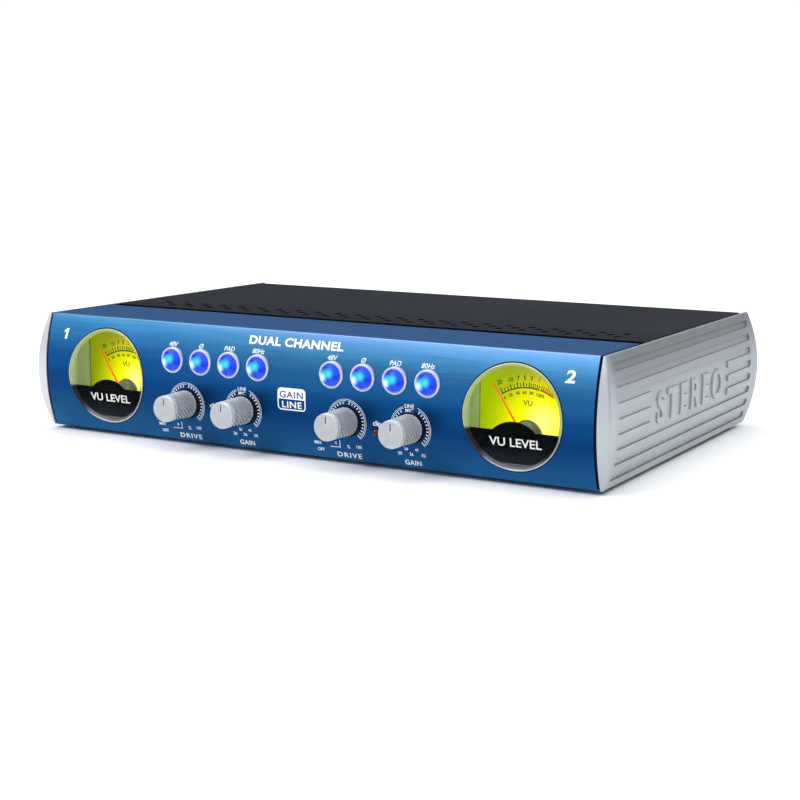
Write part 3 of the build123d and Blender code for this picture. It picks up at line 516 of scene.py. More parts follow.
def dress_nodes():
    """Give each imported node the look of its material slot.  The rocker and the tube have their own."""
    for part in frame["record"]["subparts"]:
        if part["material_slot"] in LOOKS:
            dress(part["node"], LOOKS[part["material_slot"]])
    dress("power_rocker", ROCKER_GLOSS)
    dress("vacuum_tube", glass("tube_glass", (0.9, 0.95, 0.93), 0.04, 1.45, 80.0, 0.01))


# --- mesh helpers ---
def link(item):
    bpy.context.scene.collection.objects.link(item)


def shift(shape, move, start=0):
    """Move the vertices of a shape, from the one numbered start."""
    shape.verts.ensure_lookup_table()
    bmesh.ops.translate(shape, verts=shape.verts[start:], vec=move)


def add_piece(name, shape, material, body="case", origin=(0, 0, 0), slot=None, sharp=35.0):
    """Turn a bmesh in millimetres about origin into a piece in metres that rides on a body."""
    bmesh.ops.recalc_face_normals(shape, faces=shape.faces)
    mesh = bpy.data.meshes.new(name)
    shape.to_mesh(mesh)
    shape.free()
    mesh.transform(Matrix.Scale(MM, 4))
    mesh.shade_smooth()
    mesh.set_sharp_from_angle(angle=radians(sharp))
    mesh.materials.append(material)
    piece = bpy.data.objects.new(name, mesh)
    piece.location = Vector(origin) * MM
    link(piece)
    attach(piece, body)
    return piece


def straight(radius, y, angle):
    """A point on a circle about the Y axis, its angle measured from +Z towards +X."""
    return Vector((radius * sin(angle), y, radius * cos(angle)))


def turned(profile, steps=96, closed=False, place=straight, shape=None):
    """A profile of (radius, y) turned about the Y axis.  A closed profile makes a ring."""
    shape = shape or bmesh.new()
    rings = []
    for radius, y in profile:
        if radius == 0:
            rings.append([shape.verts.new(place(0, y, 0))])
        else:
            rings.append([shape.verts.new(place(radius, y, 2 * pi * k / steps)) for k in range(steps)])
    pairs = list(zip(rings, rings[1:]))
    if closed:
        pairs.append((rings[-1], rings[0]))
    for first, second in pairs:
        for k in range(steps):
            after = (k + 1) % steps
            a = [first[k % len(first)], first[after % len(first)]]
            b = [second[after % len(second)], second[k % len(second)]]
            shape.faces.new(list(dict.fromkeys(a + b)))
    return shape


def block(shape, low, high, bevel=0.0):
    """Add a box with slightly rounded edges to a shape."""
    size = Vector(high) - Vector(low)
    centre = (Vector(high) + Vector(low)) / 2
    place = Matrix.Translation(centre) @ Matrix.Diagonal((*size, 1))
    made = bmesh.ops.create_cube(shape, size=1.0, matrix=place)
    if bevel:
        edges = {edge for vert in made["verts"] for edge in vert.link_edges}
        bmesh.ops.bevel(shape, geom=list(edges), offset=bevel, segments=3, affect="EDGES")
    return shape


def cut_row(shape, v):
    """Cut a shape along one row, so that it can follow a surface that bows along v."""
    everything = shape.verts[:] + shape.edges[:] + shape.faces[:]
    bmesh.ops.bisect_plane(shape, geom=everything, plane_co=(0, v, 0), plane_no=(0, 1, 0))


CAPITAL = 0.729            # height of the capitals in the built-in typeface, as a share of its size


def lettering(text, height, **settings):
    """A mesh of centred words, with capitals of that height."""
    curve = bpy.data.curves.new("lettering", "FONT")
    curve.body = text
    curve.size = height / CAPITAL
    curve.align_x = "CENTER"
    for setting, value in settings.items():
        setattr(curve, setting, value)
    holder = bpy.data.objects.new("lettering", curve)
    link(holder)
    bpy.context.view_layer.update()
    mesh = bpy.data.meshes.new_from_object(holder)
    bpy.data.objects.remove(holder)
    bpy.data.curves.remove(curve)
    return mesh


class Artwork:
    """Flat artwork on a (u, v) plane in millimetres, laid later on a surface as a thin solid layer."""

    def __init__(self):
        self.flat = bmesh.new()

    def words(self, text, u, v, height, bold=0.0, slant=0.0, spacing=1.0, turn=0.0, width=1.0):
        """Lettering centred on (u, v), with capitals of that height, turned clockwise in degrees."""
        mesh = lettering(text, height, offset=bold, shear=slant, space_character=spacing, resolution_u=4)
        place = Matrix.Translation((u, v, 0)) @ Matrix.Rotation(-radians(turn), 4, "Z")
        mesh.transform(place @ Matrix.Diagonal((width, 1, 1, 1)) @ Matrix.Translation((0, -height / 2, 0)))
        self.flat.from_mesh(mesh)
        bpy.data.meshes.remove(mesh)

    def polygon(self, points):
        self.flat.faces.new([self.flat.verts.new((u, v, 0)) for u, v in points])

    def arc(self, u, v, inner, outer, start, end, steps=48):
        """Part of a ring about (u, v), its angles in degrees clockwise from the top."""
        rows = []
        for k in range(steps + 1):
            angle = radians(start + (end - start) * k / steps)
            across, up = sin(angle), cos(angle)
            rows.append([self.flat.verts.new((u + r * across, v + r * up, 0)) for r in (inner, outer)])
        for (a, b), (c, d) in zip(rows, rows[1:]):
            self.flat.faces.new((a, b, d, c))

    def tick(self, u, v, inner, outer, angle, width):
        """A short radial bar about (u, v)."""
        a = radians(angle)
        along, across = Vector((sin(a), cos(a))), Vector((cos(a), -sin(a))) * width / 2
        ends = [Vector((u, v)) + along * reach for reach in (inner, outer)]
        self.polygon([ends[0] - across, ends[0] + across, ends[1] + across, ends[1] - across])

    def frame_band(self, u, v, width, height, corner, line):
        """A rounded rectangular border, centred on (u, v)."""
        outer = rounded_outline(width, height, corner)
        inner = rounded_outline(width - 2 * line, height - 2 * line, corner - line)
        outer = [self.flat.verts.new((u + a, v + b, 0)) for a, b in outer]
        inner = [self.flat.verts.new((u + a, v + b, 0)) for a, b in inner]
        for k in range(len(outer)):
            after = (k + 1) % len(outer)
            self.flat.faces.new((outer[k], outer[after], inner[after], inner[k]))

    def lay(self, name, material, surface, thickness=0.03, depth=0.03, row=1.0, **piece):
        """Make the layer in rows.  surface(u, v, proud) is a point that far in front of the surface."""
        heights = [vert.co.y for vert in self.flat.verts]
        for k in range(ceil(min(heights) / row), floor(max(heights) / row) + 1):
            cut_row(self.flat, k * row)
        self.flat.verts.index_update()
        shape = bmesh.new()
        front = [shape.verts.new(surface(p.co.x, p.co.y, thickness)) for p in self.flat.verts]
        back = [shape.verts.new(surface(p.co.x, p.co.y, -depth)) for p in self.flat.verts]
        for face in self.flat.faces:
            order = [p.index for p in face.verts]
            shape.faces.new([front[k] for k in order])
            shape.faces.new([back[k] for k in reversed(order)])
        for edge in self.flat.edges:
            if len(edge.link_faces) == 1:
                a, b = (p.index for p in edge.verts)
                shape.faces.new((front[a], back[a], back[b], front[b]))
        self.flat.free()
        return add_piece(name, shape, material, **piece)


def rounded_outline(width, height, corner, steps=8):
    """Points round a rectangle with rounded corners, centred on the origin."""
    points = []
    for turn, (su, sv) in enumerate(((1, 1), (-1, 1), (-1, -1), (1, -1))):
        for k in range(steps + 1):
            angle = pi / 2 * (turn + k / steps)
            centre_u, centre_v = su * (width / 2 - corner), sv * (height / 2 - corner)
            points.append((centre_u + corner * cos(angle), centre_v + corner * sin(angle)))
    return points


def on_panel(u, v, proud):
    return Vector((u, panel_y(v, proud), v))


# --- knobs ---
FLUTES = 20
FLUTE_DEPTH = 0.75
FLUTE_TWIST = radians(100)
FLUTE_FRONT = 2.62         # from the face to where the flutes start
FLUTE_FOOT = 0.35          # from the base to where they end
COLLAR_LENGTH = 2.2
FACE_EDGE_R = 0.45
KNOB_STEPS = 280


def knob_profile(low, high):
    """(radius, y) from the middle of the face round to the middle of the base."""
    front, base = low.y, high.y
    base_r = (high.x - low.x) / 2
    face_r = base_r - 0.3
    collar = front + COLLAR_LENGTH
    points = [(0, front + 0.06), (face_r - 1.2, front + 0.06), (face_r - 0.75, front)]
    for k in range(5):
        angle = pi / 2 * k / 4
        points.append((face_r - FACE_EDGE_R * (1 - sin(angle)), front + FACE_EDGE_R * (1 - cos(angle))))
    points += [(face_r + 0.02, front + 0.9), (face_r - 0.16, front + 1.05), (face_r - 0.16, front + 1.2)]
    points += [(face_r + 0.04, front + 1.35), (face_r + 0.05, collar - 0.12), (face_r - 0.03, collar)]
    points += [(face_r - 0.38, collar + 0.12), (face_r - 0.38, collar + 0.3)]
    rows = 32
    start, end = front + FLUTE_FRONT, base - FLUTE_FOOT
    for k in range(rows + 1):
        points.append((face_r + 0.05 + (base_r - face_r - 0.05) * k / rows, start + (end - start) * k / rows))
    return points + [(base_r - 0.12, base - 0.1), (base_r - 0.4, base), (base_r * 0.4, base), (0, base)]


def add_knob(node):
    low, high = corners(node)
    centre = middle(node)
    start, end = low.y + FLUTE_FRONT, high.y - FLUTE_FOOT

    def fluted(radius, y, angle):
        share = (y - start) / (end - start)
        if not 0 <= share <= 1:
            return straight(radius, y, angle)
        fade = min(1.0, share * 14, (1 - share) * 14)
        wave = 0.5 - 0.5 * cos(FLUTES * (angle - FLUTE_TWIST * share))
        return straight(radius - FLUTE_DEPTH * fade * wave ** 1.6, y, angle)

    shape = turned(knob_profile(low, high), KNOB_STEPS, place=fluted)
    shift(shape, (0, -centre.y, 0))
    knob = add_piece(f"fluted_{node}", shape, LOOKS["knob_silver"], node, centre, "knob_silver", 50)
    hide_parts(node)
    bar = block(bmesh.new(), (-0.17, low.y - 0.02, 1.2), (0.17, low.y + 0.4, 3.7), 0.02)
    shift(bar, (0, -centre.y, 0))
    add_piece(node.replace("knob", "pointer"), bar, LOOKS["black_plastic"], node, centre, "black_plastic")


def add_knob_washer_and_shade(node):
    """Black washer on the panel round each shaft, which also stands in for the shade that the knob casts
    round its base.
    """
    centre = middle(node)

    def place(radius, proud, angle):
        z = centre.z + radius * cos(angle)
        return Vector((centre.x + radius * sin(angle), panel_y(z, proud), z))

    profile = [(3.7, 0.02), (3.7, 0.3), (5.4, 0.3), (5.6, 0.2), (5.65, 0.02)]
    shape = turned(profile, 96, True, place)
    add_piece(node.replace("knob", "washer"), shape, LOOKS["black_rubber"], slot="black_rubber")


# --- buttons ---
BUTTON_R = 3.55
RING_R = 4.8
RING_PROUD = 0.8
RING_GAP = 0.12
RING_LIP = 0.40
LIT_BLUE = lit_blue(BUTTON_R)
RING_LOOK = mottled("button_ring_satin", (0.60, 0.59, 0.72), 0.35, 0.3, 500.0, 0.004, 0.06)


def add_button(node):
    """Domed cap on its square stem."""
    low, high = corners(node)
    centre = middle(node)
    dome = 0.95
    dome_r = (BUTTON_R ** 2 + dome ** 2) / (2 * dome)
    rows = 14
    profile = [(0, low.y)]
    for k in range(1, rows + 1):
        radius = BUTTON_R * 0.97 * k / rows
        profile.append((radius, low.y + dome_r - sqrt(dome_r ** 2 - radius ** 2)))
    profile += [(BUTTON_R - 0.02, low.y + dome + 0.08), (BUTTON_R, low.y + dome + 0.25)]
    profile += [(BUTTON_R, EDGE_Y + 0.3), (BUTTON_R - 0.2, EDGE_Y + 0.5), (0, EDGE_Y + 0.5)]
    shape = turned(profile, 72)
    shift(shape, (0, -centre.y, 0))
    block(shape, (-1.5, EDGE_Y + 0.3 - centre.y, -1.5), (1.5, high.y - centre.y, 1.5), 0.15)
    button = add_piece(f"lit_{node}", shape, LIT_BLUE, node, centre, "blue_light")
    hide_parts(node)


def add_button_rings(buttons):
    """Plated rings with rounded lips, seated on the bowed panel."""
    shape = bmesh.new()
    for node in buttons:
        centre = middle(node)
        front = panel_y(centre.z) - RING_PROUD
        inner = BUTTON_R + RING_GAP
        profile = [(inner, EDGE_Y + 1.4), (inner, front + 0.5), (inner + RING_LIP, front + 0.1)]
        crown = RING_R - inner - RING_LIP
        for k in range(1, 8):
            angle = pi / 2 * k / 7
            radius = RING_R - crown * (1 - sin(angle))
            profile.append((radius, front + 0.02 + 0.4 * crown * (1 - cos(angle))))
        profile += [(RING_R, "seat"), (RING_R - 0.4, "seat"), (RING_R - 0.4, EDGE_Y + 1.4)]

        def place(radius, y, angle, centre=centre):
            z = centre.z + radius * cos(angle)
            depth = panel_y(z, 0.03) if y == "seat" else y
            return Vector((centre.x + radius * sin(angle), depth, z))

        turned(profile, 72, True, place, shape)
    rings = add_piece("button_rings", shape, RING_LOOK, slot="bright_chrome")
    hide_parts("button_bezels")


# --- meters ---
BRIDGE_RISE = 1.3          # how far the middle of the coil's bridge is above the pivot
BRIDGE_R = 5.3
GLASS_R = 16.75
WINDOW_STEPS = 160
SCALE_R = 17.65
FIGURE_R = 21.0
BLACK_MARKS = ((-31.5, "20"), (-20, "10"), (-12, "7"), (-5.2, "5"), (1.4, "3"))
BLACK_TICKS = (-27.5, -23.5, -16, -8.6, -1.9, 3.6, 5.8, 8.0, 10.2, 12.4)
RED_TICKS = (15.5, 17.8, 20.1, 22.4, 24.7, 27.0, 29.3, 31.6)
RED_MARKS = ((11, "1"), (19, "1"), (28, "3"))
PLATE_GREENS = ((0.20, 0.27, 0.0), (0.28, 0.44, 0.0))
PERCENT = ((-31.8, "0"), (-23.5, "20"), (-13.5, "40"), (-4.5, "60"), (4.5, "80"), (16, "100%"))


def pivot_z(channel):
    """Height of a meter needle's pivot."""
    joints = frame["record"]["behaviour"]["joints"]
    swing = next(joint for joint in joints if joint["child"] == f"meter_needle_{channel}")
    return swing["pos_m"][2] / MM


def window_place(centre):
    """A place function for turned(): y is how far a point stands proud of the panel, about centre."""
    def place(radius, proud, angle):
        z = centre.z + radius * cos(angle)
        return Vector((radius * sin(angle), panel_y(z, proud) - centre.y, z - centre.z))
    return place


def add_window(channel):
    """Clear lens with its thick bevelled edge, the bright lip round it, and a black ring for the painted
    shade of the gap outside.
    """
    rim, lens = f"meter_rim_{channel}", f"meter_lens_{channel}"
    centre = middle(rim)
    place = window_place(centre)
    lip = [(WINDOW_R - 0.55, -1.6), (WINDOW_R - 0.55, 0.16)]
    for k in range(7):
        angle = pi * k / 6
        lip.append((WINDOW_R - 0.30 - 0.25 * cos(angle), 0.16 + 0.22 * sin(angle)))
    lip.append((WINDOW_R - 0.05, -1.6))
    edge = add_piece(f"window_lip_{channel}", turned(lip, WINDOW_STEPS, True, place), LIP_LOOK, origin=centre,
                     slot="bright_chrome")
    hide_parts(rim)
    bevel = [(GLASS_R - 0.1, -0.98), (GLASS_R - 0.02, -0.90), (WINDOW_R - 0.62, 0.10)]
    bevel += [(WINDOW_R - 0.56, 0.14), (WINDOW_R - 0.54, 0.10), (WINDOW_R - 0.54, -0.98)]
    add_piece(f"window_bevel_{channel}", turned(bevel, WINDOW_STEPS, True, place), BEVEL_LOOK, origin=centre,
              slot="clear_glass")
    radii = [GLASS_R * k / 12 for k in range(12)] + [GLASS_R - 0.1]
    rings = [(radius, 0.0) for radius in radii] + [(GLASS_R, -0.1), (GLASS_R, -0.4)]
    rings += [(radius, -0.5) for radius in reversed(radii)]
    clear = add_piece(f"window_glass_{channel}", turned(rings, WINDOW_STEPS, place=place),
                      LOOKS["clear_glass"], origin=centre, slot="clear_glass")
    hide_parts(lens)
    # Painted shade: a black ring stands in for the shade in the gap round the lip.
    gap = [(WINDOW_R - 0.04, 0.01), (WINDOW_R - 0.04, 0.05), (WINDOW_R + 0.22, 0.07), (WINDOW_R + 0.34, 0.01)]
    add_piece(f"window_gap_{channel}", turned(gap, WINDOW_STEPS, True, place),
              LOOKS["black_rubber"], origin=centre, slot="black_rubber")


def add_window_sill(channel):
    """Silver crescent that fills the window below the flat bottom edge of the mask."""
    centre = middle(f"meter_rim_{channel}")
    mask_low = corners(f"meter_mask_{channel}")[0].z - 0.02
    radius = LENS_R - 0.1
    half = sqrt(radius ** 2 - (centre.z - mask_low) ** 2)
    art = Artwork()
    count = 40
    upper = [(centre.x - half + 2 * half * k / count, mask_low) for k in range(count + 1)]
    lower = [(u, centre.z - sqrt(radius ** 2 - (u - centre.x) ** 2) - 0.001) for u, _ in upper]
    verts = [[art.flat.verts.new((*point, 0)) for point in line] for line in (upper, lower)]
    for k in range(count):
        art.flat.faces.new((verts[0][k], verts[0][k + 1], verts[1][k + 1], verts[1][k]))
    art.lay(f"window_sill_{channel}", SILVER_SILL, behind_window, 0.0, 0.45, slot="bright_chrome")


def behind_window(u, v, proud):
    return on_panel(u, v, proud - MASK_INSET)


def add_scale(channel):
    """Printed meter scale: arc, ticks and figures."""
    low, high = corners(f"meter_scale_{channel}")
    x = (low.x + high.x) / 2
    pivot = pivot_z(channel)

    def on_plate(u, v, proud):
        return Vector((u, low.y - proud, v))

    def figure(art, radius, angle, text, size, bold):
        a = radians(angle)
        art.words(text, x + radius * sin(a), pivot + radius * cos(a), size, bold, 0.0, 0.95, angle * 0.6)

    black = Artwork()
    black.arc(x, pivot, SCALE_R - 0.2, SCALE_R + 0.2, -33, 13.4)
    for angle, text in BLACK_MARKS:
        black.tick(x, pivot, SCALE_R, SCALE_R + 1.9, angle, 0.40)
        figure(black, FIGURE_R + (0.6 if angle < -30 else 0), angle + 2, text, 1.55, 0.03)
    for angle in BLACK_TICKS:
        black.tick(x, pivot, SCALE_R, SCALE_R + 1.6, angle, 0.32)
    for angle, text in PERCENT:
        figure(black, SCALE_R - 1.6, angle, text, 1.15, 0.02)
    black.words("VU", x + 0.1, pivot + 12.6, 1.9, 0.02)
    black.lay(f"scale_print_{channel}", DARK_INK, on_plate, 0.04, 0.02, 5.0, slot="meter_scale_yellow")
    red = Artwork()
    red.arc(x, pivot, SCALE_R - 0.15, SCALE_R + 0.3, 14.2, 32.6, 24)
    for angle in RED_TICKS:
        red.tick(x, pivot, SCALE_R, SCALE_R + 1.7, angle, 0.42)
    for angle, text in RED_MARKS:
        figure(red, FIGURE_R, angle, text, 1.5, 0.03)
    red.lay(f"scale_red_{channel}", RED_INK, on_plate, 0.04, 0.02, 5.0, slot="meter_scale_yellow")


def add_bridge_cap(channel):
    """Smoky cap with a rounded edge over the coil's bridge, and the coil's copper lead on it."""
    centre = middle(f"meter_rim_{channel}")
    front = corners(f"meter_needle_{channel}")[0].y + 1.35
    origin = Vector((centre.x, front, pivot_z(channel) + BRIDGE_RISE))
    radius = BRIDGE_R - 0.05
    profile = [(0, 0), (3.0, 0.0)]
    for k in range(1, 7):
        angle = pi / 2 * k / 6
        profile.append((3.0 + (radius - 3.0) * sin(angle), 0.62 - 0.62 * cos(angle)))
    shape = turned([*profile, (radius, 0.8), (0, 0.8)], 96)
    add_piece(f"bridge_cap_{channel}", shape, CAP_LOOK, origin=origin, slot="meter_grey")
    lead = block(bmesh.new(), (2.2, -0.08, 2.05), (5.0, 0.5, 2.35), 0.05)
    add_piece(f"coil_lead_{channel}", lead, COPPER, origin=origin, slot="brass")


def add_mask_words(channel):
    centre = middle(f"meter_lens_{channel}")
    art = Artwork()
    art.words("VU LEVEL", centre.x + 0.6, pivot_z(channel) + 1.0, 3.0, 0.06, 0.0, 1.0, 0.0, 1.1)
    art.lay(f"mask_words_{channel}", WHITE_INK, behind_window, 0.04, 0.02, slot="black_gloss")


LIP_LOOK = window_lip()
BEVEL_LOOK = window_bevel()
CAP_LOOK = bridge_smoke()
COPPER = mottled("copper_wire", (0.40, 0.10, 0.02), 0.4, 0.3, 400.0, 0.01, 0.1)


def add_meter(channel, green):
    scale = middle(f"meter_scale_{channel}")
    dress(f"meter_scale_{channel}", meter_glow(f"meter_plate_lit_{channel}", (scale.x, scale.z), green))
    add_window(channel)
    add_window_sill(channel)
    add_scale(channel)
    add_bridge_cap(channel)
    add_mask_words(channel)


# --- printing on the panel ---
def knob_scale(art, node, marks, gap=0.0):
    """Two arcs, a row of ticks and small figures round a knob.  The arcs part at the top by gap degrees."""
    centre = middle(node)
    x, z = centre.x, centre.z
    for start, end in ((-112, -gap), (gap, 141)):
        art.arc(x, z, 7.72, 7.86, start, end, 60)
        art.arc(x, z, 7.18, 7.36, start + 6, end, 60)
    art.arc(x, z, 6.3, 7.86, 140.0, 141.2, 2)
    for k in range(29):
        angle = -150 + 300 * k / 28
        if -115 < angle < 140 and abs(angle) > gap * 1.2:
            art.tick(x, z, 6.15, 6.9, angle, 0.38)
    for dx, dz, text, size in marks:
        art.words(text, x + dx, z + dz, size, 0.02)


DRIVE_MARKS = (
    (-0.5, -9.4, "%", 1.3),
    (3.7, -9.1, "100", 1.2),
    (-13.2, -9.0, "MIN", 1.2),
    (-12.3, -11.5, "OFF", 1.2),
    (-5.6, -8.5, "0", 1.0),
)
GAIN_MARKS = (
    (-5.2, -9.4, "30", 1.2),
    (-0.7, -9.4, "36", 1.2),
    (4.0, -9.4, "50", 1.2),
    (-2.5, -7.6, "20", 1.0),
    (1.6, -7.6, "40", 1.0),
    (-0.3, 7.7, "LINE", 1.35),
    (-0.3, 6.1, "MIC", 1.35),
)


OFF_BAR = ((-4, 0), (0.15, 0), (0.15, 0.22), (-4, 0.22))
OFF_RISE = ((-0.08, 0.22), (0.15, 0.22), (0.4, 2.7), (0.17, 2.7))


def add_panel_print(channel):
    art = Artwork()
    for name, words in BUTTON_WORDS.items():
        centre = middle(f"{name}_button_{channel}")
        art.words(words, centre.x - 0.5, centre.z + 5.85, 1.75, 0.03, 0.25)
    drive, gain = (middle(f"{name}_knob_{channel}") for name in ("drive", "gain"))
    knob_scale(art, f"drive_knob_{channel}", DRIVE_MARKS)
    knob_scale(art, f"gain_knob_{channel}", GAIN_MARKS, 21)
    x, z = drive.x - 4.1, drive.z - 10.1
    for mark in (OFF_BAR, OFF_RISE):
        art.polygon([(x + across, z + up) for across, up in mark])
    art.words("DRIVE", drive.x - 0.75, drive.z - 12.6, 1.85, 0.05, 0.0, 1.25, 0.0, 1.25)
    art.words("GAIN", gain.x - 0.5, gain.z - 12.5, 1.85, 0.05, 0.0, 1.05, 0.0, 1.05)
    art.words("clip", gain.x - 13.2, gain.z + 0.45, 1.8, 0.04)
    art.lay(f"panel_print_{channel}", WHITE_INK, on_panel, slot="blue_anodised")


FIGURE_ONE = ((-0.62, -2), (0.38, -2), (1.05, 2), (0.15, 2), (-1.15, 1.15), (-1.0, 0.35), (-0.18, 0.75))


def add_titles():
    top = PANEL_HIGH.z
    art = Artwork()
    art.words("DUAL CHANNEL", -0.8, top - 3.75, 2.9, 0.15, 0.0, 1.08, 0.0, 1.25)
    meter_1, meter_2 = (middle(f"meter_rim_{channel}") for channel in CHANNELS)
    art.polygon([(meter_1.x - 20.4 + across, MID_Z + 14.7 + up) for across, up in FIGURE_ONE])
    art.words("2", meter_2.x + 19.6, MID_Z + 15.0, 4.0, 0.16, 0.12, 1.0, 0.0, 1.25)
    art.lay("panel_titles", WHITE_INK, on_panel, slot="blue_anodised")


BADGE_X, BADGE_DROP = -0.8, 1.6
BADGE_W, BADGE_H = 11.8, 8.0


def add_badge():
    """Two-tone badge in the middle of the panel."""
    z = MID_Z - BADGE_DROP
    art = Artwork()
    art.frame_band(BADGE_X, z, BADGE_W, BADGE_H, 1.5, 0.42)
    art.lay("badge_border", WHITE_INK, on_panel, slot="blue_anodised")
    art = Artwork()
    field_w = BADGE_W - 0.5
    outline = [point for point in rounded_outline(field_w, BADGE_H - 0.5, 1.25) if point[1] > 0]
    art.polygon([(BADGE_X + u, z + v) for u, v in (*outline, (-field_w / 2, 0), (field_w / 2, 0))])
    art.lay("badge_field", WHITE_INK, on_panel, 0.028, slot="blue_anodised")
    art = Artwork()
    art.words("GAIN", BADGE_X, z + 1.7, 2.4, 0.05, 0.0, 1.1, 0.0, 1.2)
    art.lay("badge_words_upper", NAVY_INK, on_panel, 0.05, slot="blue_anodised")
    art = Artwork()
    art.words("LINE", BADGE_X, z - 1.85, 2.4, 0.05, 0.0, 1.1, 0.0, 1.2)
    art.lay("badge_words_lower", WHITE_INK, on_panel, slot="blue_anodised")


# --- end caps ---
SIDE_BULGE = 3.4
GROOVE_DEPTH = 0.7
SIDE_R = (CASE_H ** 2 / 4 + SIDE_BULGE ** 2) / (2 * SIDE_BULGE)
CAP_WORD_HEIGHT = 11.0
CAP_WORD_RELIEF = 0.55
CAP_WORD_Y = EDGE_Y + 73.0


def add_cap_word(side_name, side):
    """Raised lettering in an end cap's pocket, with softened edges."""
    low, high = corners(f"{side_name}_end_cap")
    outside = high.x if side > 0 else -low.x
    relief = {"extrude": CAP_WORD_RELIEF / 2, "bevel_depth": 0.16, "bevel_resolution": 2}
    mesh = lettering("STEREO", CAP_WORD_HEIGHT, space_character=1.42, offset=0.25, **relief)
    shape = bmesh.new()
    shape.from_mesh(mesh)
    bpy.data.meshes.remove(mesh)
    bmesh.ops.remove_doubles(shape, verts=shape.verts, dist=0.002)
    for row in range(ceil(CAP_WORD_HEIGHT) + 1):
        cut_row(shape, row)
    for vert in shape.verts:
        u, v, w = vert.co
        z = MID_Z + v - CAP_WORD_HEIGHT / 2
        rise = w + CAP_WORD_RELIEF / 2 - 0.05
        x = outside - SIDE_R + sqrt((SIDE_R - GROOVE_DEPTH) ** 2 - (z - MID_Z) ** 2) + rise
        vert.co = Vector((side * x, CAP_WORD_Y + side * u, z))
    add_piece(f"{side_name}_cap_word", shape, LOOKS["silver_casting"], slot="silver_casting")


# --- back ---
PIN_R = 1.26
PIN_CIRCLE_R = 3.9
XLR_HALF_W = 13
LINE_NUT_R = 6.4


def add_rear_print():
    """Plain labels on the cover's rear lip."""
    lip_y = corners("top_cover")[1].y
    z = PANEL_HIGH.z - 3.6
    combo = corners("combo_jacks")
    xlr = corners("xlr_outputs")
    line = corners("line_jacks")
    labels = [
        (combo[0].x + XLR_HALF_W, "INPUT 1"),
        (combo[1].x - XLR_HALF_W, "INPUT 2"),
        (xlr[0].x + XLR_HALF_W, "OUTPUT 1"),
        (xlr[1].x - XLR_HALF_W, "OUTPUT 2"),
        (line[0].x + LINE_NUT_R, "LINE 1"),
        (line[1].x - LINE_NUT_R, "LINE 2"),
        (middle("power_inlet").x, "POWER IN"),
        (middle("power_switch_frame").x, "ON/OFF"),
    ]
    art = Artwork()
    for x, words in labels:
        art.words(words, -x, z, 1.9, 0.05)

    def on_lip(u, v, proud):
        return Vector((-u, lip_y + proud, v))

    art.lay("rear_labels", WHITE_INK, on_lip, slot="charcoal_powder")


def add_xlr_details():
    """Black insert and gold pins in each three-pin output."""
    low, high = corners("xlr_outputs")
    z = (low.z + high.z) / 2
    floor_y, tip = high.y - 12.5, high.y - 2.05
    disc = [(0, floor_y + 0.5), (7.6, floor_y + 0.5), (8.05, floor_y + 0.2), (8.05, floor_y - 0.3)]
    pin = [(0, floor_y), (PIN_R, floor_y), (PIN_R, tip - 0.6), (0.9, tip - 0.15), (0.4, tip), (0, tip)]
    for channel, x in zip(CHANNELS, (low.x + XLR_HALF_W, high.x - XLR_HALF_W)):
        insert = turned([*disc, (0, floor_y - 0.3)], 72)
        shift(insert, (x, 0, z))
        add_piece(f"xlr_insert_{channel}", insert, LOOKS["black_plastic"], slot="black_plastic")
        shape = bmesh.new()
        for angle in (45, 135, 270):
            a = radians(angle)
            start = len(shape.verts)
            turned(pin, 32, shape=shape)
            shift(shape, (x + PIN_CIRCLE_R * cos(a), 0, z + PIN_CIRCLE_R * sin(a)), start)
        add_piece(f"xlr_pins_{channel}", shape, GOLD, slot="nickel_shell")


# --- scene ---
VIEW_AZIMUTH = 29.84
VIEW_ELEVATION = 9.74
VIEW_ROLL = 0.21
VIEW_DISTANCE = 535.53
VIEW_LENS = 70.45
VIEW_AIM_X = 40.93
VIEW_AIM_RISE = 1.29
ROOM_FRONT = 0.62
ROOM_BACK = 0.15


def add_camera():
    azimuth, elevation, roll = radians(VIEW_AZIMUTH), radians(VIEW_ELEVATION), radians(VIEW_ROLL)
    aim = Vector((VIEW_AIM_X, EDGE_Y, MID_Z + VIEW_AIM_RISE))
    ahead = Vector((-sin(azimuth) * cos(elevation), cos(azimuth) * cos(elevation), -sin(elevation)))
    right = Vector((cos(azimuth), sin(azimuth), 0))
    up = right.cross(ahead)
    turned_right = right * cos(roll) + up * sin(roll)
    turned_up = up * cos(roll) - right * sin(roll)
    data = bpy.data.cameras.new("view")
    data.lens = VIEW_LENS
    data.clip_start = 0.05
    data.clip_end = 100.0
    camera = bpy.data.objects.new("view", data)
    axes = Matrix((turned_right, turned_up, -ahead)).transposed()
    camera.matrix_world = Matrix.Translation((aim - ahead * VIEW_DISTANCE) * MM) @ axes.to_4x4()
    link(camera)
    bpy.context.scene.camera = camera


def add_light(name, kind, power, place, direction):
    data = bpy.data.lights.new(name, kind)
    data.energy = power
    light = bpy.data.objects.new(name, data)
    light.location = place
    light.rotation_euler = direction.to_track_quat("-Z", "Y").to_euler()
    link(light)
    return data


def add_lights():
    """A soft key from the front left, and a very soft sun overhead."""
    key_place = Vector((-0.45, -0.8, 0.85))
    key = add_light("key", "AREA", 6.0, key_place, Vector((0.0, 0.0, 0.02)) - key_place)
    key.shape = "RECTANGLE"
    key.size, key.size_y = 0.7, 0.5
    overhead = add_light("overhead", "SUN", 2.9, (0, 0, 0), Vector((-0.12, -0.26, -1.0)))
    overhead.angle = radians(90)


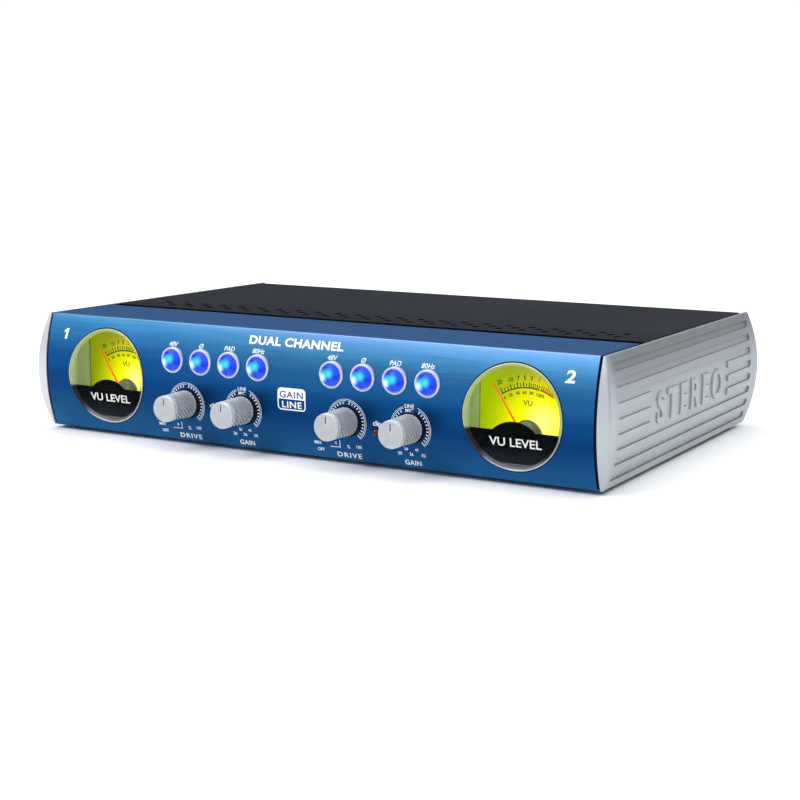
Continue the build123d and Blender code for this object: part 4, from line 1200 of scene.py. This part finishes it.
def add_surroundings():
    """White surroundings for the camera, and a dimmer room, brighter in front, for everything else."""
    world = bpy.data.worlds.new("studio")
    world.use_nodes = True
    nodes, links = world.node_tree.nodes, world.node_tree.links
    room = nodes["Background"]
    white = nodes.new("ShaderNodeBackground")
    white.inputs["Color"].default_value = (1, 1, 1, 1)
    white.inputs["Strength"].default_value = 1.05
    where = nodes.new("ShaderNodeTexCoord")
    split = nodes.new("ShaderNodeSeparateXYZ")
    fade = nodes.new("ShaderNodeMapRange")
    fade.inputs["From Min"].default_value = -1.0
    fade.inputs["From Max"].default_value = 0.6
    fade.inputs["To Min"].default_value = ROOM_FRONT
    fade.inputs["To Max"].default_value = ROOM_BACK
    path = nodes.new("ShaderNodeLightPath")
    mix = nodes.new("ShaderNodeMixShader")
    links.new(where.outputs["Generated"], split.inputs["Vector"])
    links.new(split.outputs["Y"], fade.inputs["Value"])
    links.new(fade.outputs["Result"], room.inputs["Strength"])
    room.inputs["Color"].default_value = (0.94, 0.97, 1.0, 1)
    links.new(path.outputs["Is Camera Ray"], mix.inputs["Fac"])
    links.new(room.outputs["Background"], mix.inputs[1])
    links.new(white.outputs["Background"], mix.inputs[2])
    links.new(mix.outputs["Shader"], nodes["World Output"].inputs["Surface"])
    bpy.context.scene.world = world
    bpy.context.scene.view_settings.view_transform = "Standard"


def add_floor():
    floor_paint = Paint("studio_floor", (0.86, 0.86, 0.86), 0.8, Specular_IOR_Level=0.1)
    floor_paint.use("Base Color", floor_paint.ramp(floor_paint.noise(6.0), (0.3, 0.965), (0.7, 0.985)))
    sheet = bmesh.new()
    bmesh.ops.create_grid(sheet, x_segments=24, y_segments=24, size=30.0)
    mesh = bpy.data.meshes.new("studio_floor")
    sheet.to_mesh(mesh)
    sheet.free()
    mesh.materials.append(floor_paint.material)
    ground = bpy.data.objects.new("studio_floor", mesh)
    link(ground)


# --- build ---
dress_nodes()
buttons = [f"{name}_button_{channel}" for channel in CHANNELS for name in BUTTON_WORDS]
knobs = [f"{name}_knob_{channel}" for channel in CHANNELS for name in ("drive", "gain")]
for node in buttons:
    add_button(node)
add_button_rings(buttons)
for node in knobs:
    add_knob(node)
    add_knob_washer_and_shade(node)
for channel, green in zip(CHANNELS, PLATE_GREENS):
    add_meter(channel, green)
    add_panel_print(channel)
add_titles()
add_badge()
for side_name, side in (("left", -1), ("right", 1)):
    add_cap_word(side_name, side)
add_rear_print()
add_xlr_details()
add_surroundings()
add_lights()
add_floor()
add_camera()
